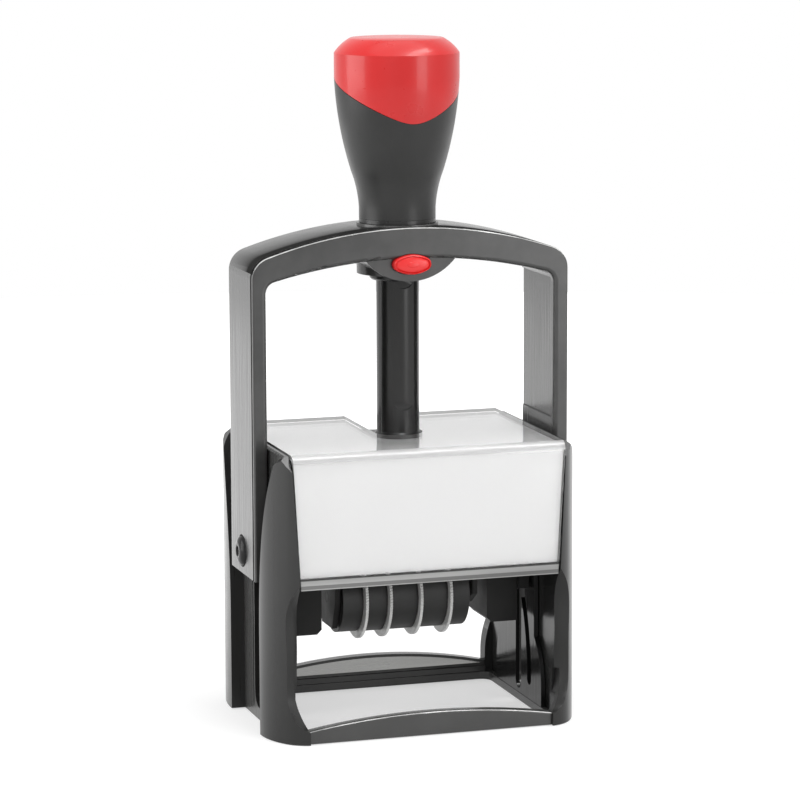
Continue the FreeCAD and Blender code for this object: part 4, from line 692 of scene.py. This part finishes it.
@dataclass
class Cover:
    """Clear cover and the card under it."""

    shop: Workshop
    # Heights of the strip's painted highlight line, painted highlight band and painted shadow under the
    # card.
    lowest_highlight_top: float = 0.3 * MM
    highlight_band_bottom: float = 1.3 * MM
    card_shadow_depth: float = 0.45 * MM
    front_depth: float = 4.0 * MM
    bottom_height: float = 0.5 * MM
    notch_height: float = 1.1 * MM

    def build(self) -> None:
        """Dress cover and card."""
        self.shop.dress("clear_cover", Palette.CLEAR, 0.1 * MM, paint=self._rim, carve=self._mark_strip,
                        others=(Palette.RIM, Palette.RIM_PAINTED_HIGHLIGHT, Palette.RIM_PAINTED_SHADOW, Palette.FOLD))
        self.shop.dress("index_card", Palette.CARD, 0.0)

    def _bands(self) -> tuple[float, float, float, float]:
        """Heights between which the strip under the card changes its look, from below: painted highlight
        line, grey, painted highlight band and painted shadow under the card.
        """
        low = COVER_BOX[0][2]
        return low + self.lowest_highlight_top, low + self.highlight_band_bottom, CARD_LOW - self.card_shadow_depth, CARD_LOW

    def _mark_strip(self, mesh: Mesh) -> None:
        """Cut the cover's faces at the bands of its lower strip."""
        cut_levels(mesh, self._bands())

    def _rim(self, face: Face) -> int:
        """Pick the finish of a cover's face.

        Args:
            face: The face.

        Returns:
            A grey finish for the narrow cut edges; for the strip under the card, grey with painted
            highlight bands and a painted shadow under the card; the fold's for the bend between front
            and top, otherwise the clear one.
        """
        low, high = COVER_BOX
        middle, normal = face.calc_center_median(), face.normal
        *bands, strip_top = self._bands()
        if normal.y < -FACING and middle.z < strip_top:
            # From below: painted highlight line, grey, painted highlight band, painted shadow under the
            # card.
            looks = (CoverSlot.RIM_PAINTED_HIGHLIGHT, CoverSlot.RIM, CoverSlot.RIM_PAINTED_HIGHLIGHT, CoverSlot.RIM_PAINTED_SHADOW)
            return looks[sum(middle.z > band for band in bands)]
        behind = middle.y > low[1] + self.front_depth
        if normal.y < -0.15 and normal.z > 0.15 and not behind:
            return CoverSlot.FOLD
        side = abs(normal.x) > FACING
        lower = normal.z < -FACING and middle.z < low[2] + self.bottom_height
        rear = normal.y > FACING and middle.y > 0.0
        notch = abs(normal.z) < 0.3 and middle.z > high[2] - self.notch_height and behind
        return CoverSlot.RIM if side or lower or rear or notch else CoverSlot.CLEAR


@dataclass
class PadDrawer:
    """Pad cassette and ink pad."""

    shop: Workshop

    def build(self) -> None:
        """Dress drawer and pad."""
        self.shop.dress("pad_cassette", Palette.CASSETTE, 0.0)
        self.shop.dress("ink_pad", Palette.FELT, 0.4 * MM)


@dataclass
class Bridge:
    """Stirrup, bush, button and axle screws."""

    shop: Workshop
    screw_shank: float = 1.99 * MM
    screw_dome: tuple[Range, ...] = (
        (0.9, 0.28), (0.1, 0.33), (0.0, 0.38), (0.05, 0.52), (0.2, 0.67), (0.45, 0.8), (0.8, 0.91),
        (1.2, 0.98), (1.5, 1.0), (2.4, 1.0))
    button_sunk: float = 0.55 * MM
    cushion: tuple[Range, ...] = ((0.965, 0.24), (0.88, 0.18), (0.68, 0.1), (0.35, 0.03))
    arch_foot: float = 100.0 * MM
    arm_inside: float = 30.0 * MM

    def build(self) -> None:
        """Dress the stirrup and what sits in it."""
        # The arch's rounded lip gets a painted highlight, its top a painted sheen.
        self.shop.dress("bridge", Palette.STIRRUP, 0.1 * MM, paint=self._stirrup_side,
                        others=(Palette.ARM_SIDE, Palette.ARCH_TOP, Palette.PAINTED_LIP_HIGHLIGHT),
                        carve=lambda mesh: round_lip(mesh, self.arch_foot), flat=True)
        self.shop.dress("column_bush", Palette.BUSH, 0.1 * MM)
        self.shop.dress("lock_button", Palette.BUTTON, 0.0, carve=self._cushion)
        for side in ("left", "right"):
            self._axle_screw("axle_screw_" + side)

    def _stirrup_side(self, face: Face) -> int:
        """Pick the finish of a stirrup's face.

        Args:
            face: The face.

        Returns:
            The streaked finish for the arms' sides, the one with a painted sheen for the arch's top, a
            painted highlight for the lip, otherwise the plain one.
        """
        middle, normal = face.calc_center_median(), face.normal
        if abs(normal.x) > 0.97 and abs(middle.x) > self.arm_inside:
            return StirrupSlot.ARM_SIDE
        if middle.z < self.arch_foot:
            return StirrupSlot.STIRRUP
        # Painted highlight on the rounded lip.
        if gets_painted_highlight(face):
            return StirrupSlot.PAINTED_LIP_HIGHLIGHT
        return StirrupSlot.ARCH_TOP if normal.z > 0.3 and abs(normal.y) < 0.3 else StirrupSlot.STIRRUP

    def _cushion(self, mesh: Mesh) -> None:
        """Round the button's front into a cushion.

        Args:
            mesh: The button's mesh.
        """
        front = [face for face in mesh.faces if face.normal.y < -FACING]
        corners = dict.fromkeys(vert for face in front for vert in face.verts)
        middle = sum((vert.co for vert in corners), Vector()) / len(corners)
        for vert in corners:
            vert.co.y += self.button_sunk
        size = 1.0
        for share, rise in self.cushion:
            made = bmesh.ops.extrude_face_region(mesh, geom=front)["geom"]
            for vert in (part for part in made if isinstance(part, Vert)):
                vert.co.x = middle.x + (vert.co.x - middle.x) * share / size
                vert.co.z = middle.z + (vert.co.z - middle.z) * share / size
                vert.co.y -= rise * MM
            bmesh.ops.delete(mesh, geom=front, context="FACES")
            front = [part for part in made if isinstance(part, Face)]
            size = share

    def _axle_screw(self, node: str) -> None:
        """Turn an axle screw with a domed head and a socket.

        Args:
            node: The screw's node.
        """
        low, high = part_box(node)
        radius = (high[2] - low[2]) / 2
        way = 1.0 if low[0] + high[0] > 0 else -1.0
        crest, end = (high[0], low[0]) if way > 0 else (low[0], high[0])
        dome = [(crest - way * drop * MM, radius * share) for drop, share in self.screw_dome]
        seat, shank = dome[-1][0], self.screw_shank
        profile = [(dome[0][0], 0.0), *dome, (seat, shank), (end, shank), (end, 0.0)]
        mesh = turned_on_x(profile, (low[2] + high[2]) / 2)
        piece = self.shop.add(node + "_look", mesh, (Palette.SCREW,), node)
        self.shop.shade(piece, 0.0)
        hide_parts(node)


@dataclass
class Handle:
    """Grip, cap and what holds them."""

    shop: Workshop

    def build(self) -> None:
        """Dress the handle."""
        self.shop.dress("handle_collar", Palette.BUSH, 0.1 * MM)
        self.shop.dress("handle_core", Palette.BUSH, 0.1 * MM)
        self.shop.dress("handle_grip", Palette.GRIP, 0.2 * MM)
        self.shop.dress("handle_cap", Palette.RED, 0.7 * MM)
        self.shop.dress("spring_plunger", Palette.PLUNGER, 0.1 * MM)


@dataclass
class Carrier:
    """Printing carrier and date unit."""

    shop: Workshop

    def build(self) -> None:
        """Dress carrier, plate, die, bands and thumbwheels."""
        self.shop.dress("carrier_frame", Palette.CARRIER)
        self.shop.dress("follower_pins", Palette.SCREW, 0.0)
        self.shop.dress("text_plate", Palette.PLATE, 0.05 * MM)
        self.shop.dress("text_die", Palette.RUBBER, 0.05 * MM)
        self.shop.dress("date_housing", Palette.CARRIER)
        self.shop.dress("wheel_axle", Palette.CARRIER, 0.1 * MM)
        self.shop.dress("band_nose", Palette.AXLE, 0.0)
        self.shop.dress("axle_spacer", Palette.BAND, 0.1 * MM)
        for number in range(1, 5):
            self.shop.dress("date_band_%d" % number, Palette.BAND, 0.1 * MM)
            self.shop.dress("thumbwheel_%d" % number, Palette.WHEEL, 0.05 * MM)


@dataclass(frozen=True)
class Softbox:
    """A rectangular lamp: its place, the size of its face in metres and its power in watts."""

    name: str
    place: Point
    size: Range
    power: float

    def hang(self, aim: Point) -> None:
        """Add the lamp to the scene.

        Args:
            aim: Point that it faces.
        """
        data = bpy.data.lights.new(self.name, "AREA")
        data.shape = "RECTANGLE"
        data.size, data.size_y = self.size
        data.energy = self.power
        lamp = bpy.data.objects.new(self.name, data)
        lamp.location = self.place
        way = Vector(aim) - Vector(self.place)
        lamp.rotation_euler = way.to_track_quat("-Z", "Y").to_euler()
        bpy.context.scene.collection.objects.link(lamp)


@dataclass
class Studio:
    """Floor, world, lamps and camera."""

    position: Vector = field(default_factory=lambda: Vector((-0.2864, -0.9193, 0.2435)))
    heading: float = 0.3026
    dip: float = 0.1607
    roll: float = 0.003527
    lens_mm: float = 159.26
    sensor_mm: float = 36.0
    far_end: float = 50.0
    aim: Point = (0.0, 0.0, 0.1)
    world_light: float = 0.52
    floor_radius: float = 0.9
    floor_gap: float = 0.2 * MM
    floor_steps: int = 64
    floor_color: tuple[float, float, float, float] = (0.55, 0.55, 0.55, 1.0)
    floor_roughness: float = 0.9
    floor_sheen: float = 0.1
    glow_reach: Range = (0.09, 0.3)
    glow: Range = (0.50, 1.0)
    softboxes: tuple[Softbox, ...] = (
        Softbox("top_softbox", (0.05, -0.1, 0.95), (0.9, 0.9), 3.0),
        Softbox("strip_light", (0.27, -0.28, 0.95), (0.75, 0.14), 3.6),
        Softbox("left_softbox", (-0.95, 0.15, 0.35), (0.8, 0.8), 8.0),
        Softbox("right_softbox", (0.8, -0.75, 0.4), (0.5, 0.5), 1.5),
        Softbox("front_softbox", (-0.75, -1.3, 0.6), (0.8, 0.8), 3.2),
        Softbox("low_softbox", (0.42, -0.75, 0.12), (0.3, 0.3), 1.3))

    def build(self) -> None:
        """Set up the whole studio."""
        bpy.context.scene.view_settings.view_transform = "Standard"
        self._floor()
        self._world()
        for softbox in self.softboxes:
            softbox.hang(self.aim)
        self._camera()

    def _camera(self) -> None:
        """Place the camera of the photograph."""
        right = Vector((math.cos(self.heading), -math.sin(self.heading), 0.0))
        level = Vector((math.sin(self.heading), math.cos(self.heading), 0.0))
        ahead = level * math.cos(self.dip) - Vector((0, 0, 1)) * math.sin(self.dip)
        up = right.cross(ahead)
        turn_right = right * math.cos(self.roll) - up * math.sin(self.roll)
        turn_up = up * math.cos(self.roll) + right * math.sin(self.roll)
        matrix = Matrix((turn_right, turn_up, -ahead)).transposed().to_4x4()
        matrix.translation = self.position
        data = bpy.data.cameras.new("camera")
        data.lens = self.lens_mm
        data.sensor_width = self.sensor_mm
        data.clip_end = self.far_end
        camera = bpy.data.objects.new("camera", data)
        camera.matrix_world = matrix
        bpy.context.scene.collection.objects.link(camera)
        bpy.context.scene.camera = camera

    @staticmethod
    def _seen(tree: Tree) -> Socket:
        """Add the test for what the camera sees directly, mirrored or through the cover.

        Args:
            tree: The node tree.

        Returns:
            1 for camera, glossy and transmission rays, otherwise 0.
        """
        path = tree.nodes.new("ShaderNodeLightPath")
        total = path.outputs["Is Camera Ray"]
        for kind in ("Is Glossy Ray", "Is Transmission Ray"):
            add = tree.nodes.new("ShaderNodeMath")
            add.operation = "MAXIMUM"
            tree.links.new(total, add.inputs[0])
            tree.links.new(path.outputs[kind], add.inputs[1])
            total = add.outputs[0]
        return total

    def _world(self) -> None:
        """White surroundings that light the stamp evenly and look white."""
        world = bpy.data.worlds.new("studio")
        bpy.context.scene.world = world
        world.use_nodes = True
        tree = world.node_tree
        light = tree.nodes["Background"]
        light.inputs["Color"].default_value = WHITE
        light.inputs["Strength"].default_value = self.world_light
        shown = tree.nodes.new("ShaderNodeBackground")
        shown.inputs["Color"].default_value = WHITE
        shown.inputs["Strength"].default_value = 1.0
        mix = tree.nodes.new("ShaderNodeMixShader")
        tree.links.new(self._seen(tree), mix.inputs[0])
        tree.links.new(light.outputs[0], mix.inputs[1])
        tree.links.new(shown.outputs[0], mix.inputs[2])
        tree.links.new(mix.outputs[0], tree.nodes["World Output"].inputs[0])

    def _floor(self) -> None:
        """Pale floor that keeps the stamp's shadow."""
        mesh = bmesh.new()
        bmesh.ops.create_circle(mesh, cap_ends=True, segments=self.floor_steps, radius=self.floor_radius)
        bmesh.ops.translate(mesh, verts=mesh.verts[:], vec=(0.0, 0.0, -self.floor_gap))
        data = bpy.data.meshes.new("floor")
        mesh.to_mesh(data)
        mesh.free()
        data.materials.append(self._floor_material())
        floor = bpy.data.objects.new("floor", data)
        bpy.context.scene.collection.objects.link(floor)

    def _floor_material(self) -> bpy.types.Material:
        """Make the floor's material, whose glow grows away from the stamp until it is white.

        Returns:
            The material.
        """
        material = bpy.data.materials.new("floor")
        material.use_nodes = True
        tree = material.node_tree
        shader = tree.nodes["Principled BSDF"]
        shader.inputs["Base Color"].default_value = self.floor_color
        shader.inputs["Roughness"].default_value = self.floor_roughness
        shader.inputs["Specular IOR Level"].default_value = self.floor_sheen
        shader.inputs["Emission Color"].default_value = WHITE
        away = tree.nodes.new("ShaderNodeVectorMath")
        away.operation = "LENGTH"
        tree.links.new(tree.nodes.new("ShaderNodeTexCoord").outputs["Object"], away.inputs[0])
        glow = tree.nodes.new("ShaderNodeMath")
        glow.operation = "MULTIPLY"
        tree.links.new(self._seen(tree), glow.inputs[0])
        share = map_range(tree, away.outputs["Value"], self.glow_reach, self.glow)
        tree.links.new(share, glow.inputs[1])
        tree.links.new(glow.outputs[0], shader.inputs["Emission Strength"])
        return material


def main() -> None:
    """Build every sub-assembly in order and set up the studio."""
    logging.basicConfig(level=logging.INFO, format="%(name)s: %(message)s")
    shop = Workshop()
    assemblies = (Body(shop), Cover(shop), PadDrawer(shop), Bridge(shop), Handle(shop), Carrier(shop))
    for assembly in assemblies:
        assembly.build()
        LOG.info("%s is dressed", type(assembly).__name__)
    Studio().build()


if __name__ == "__main__":
    main()
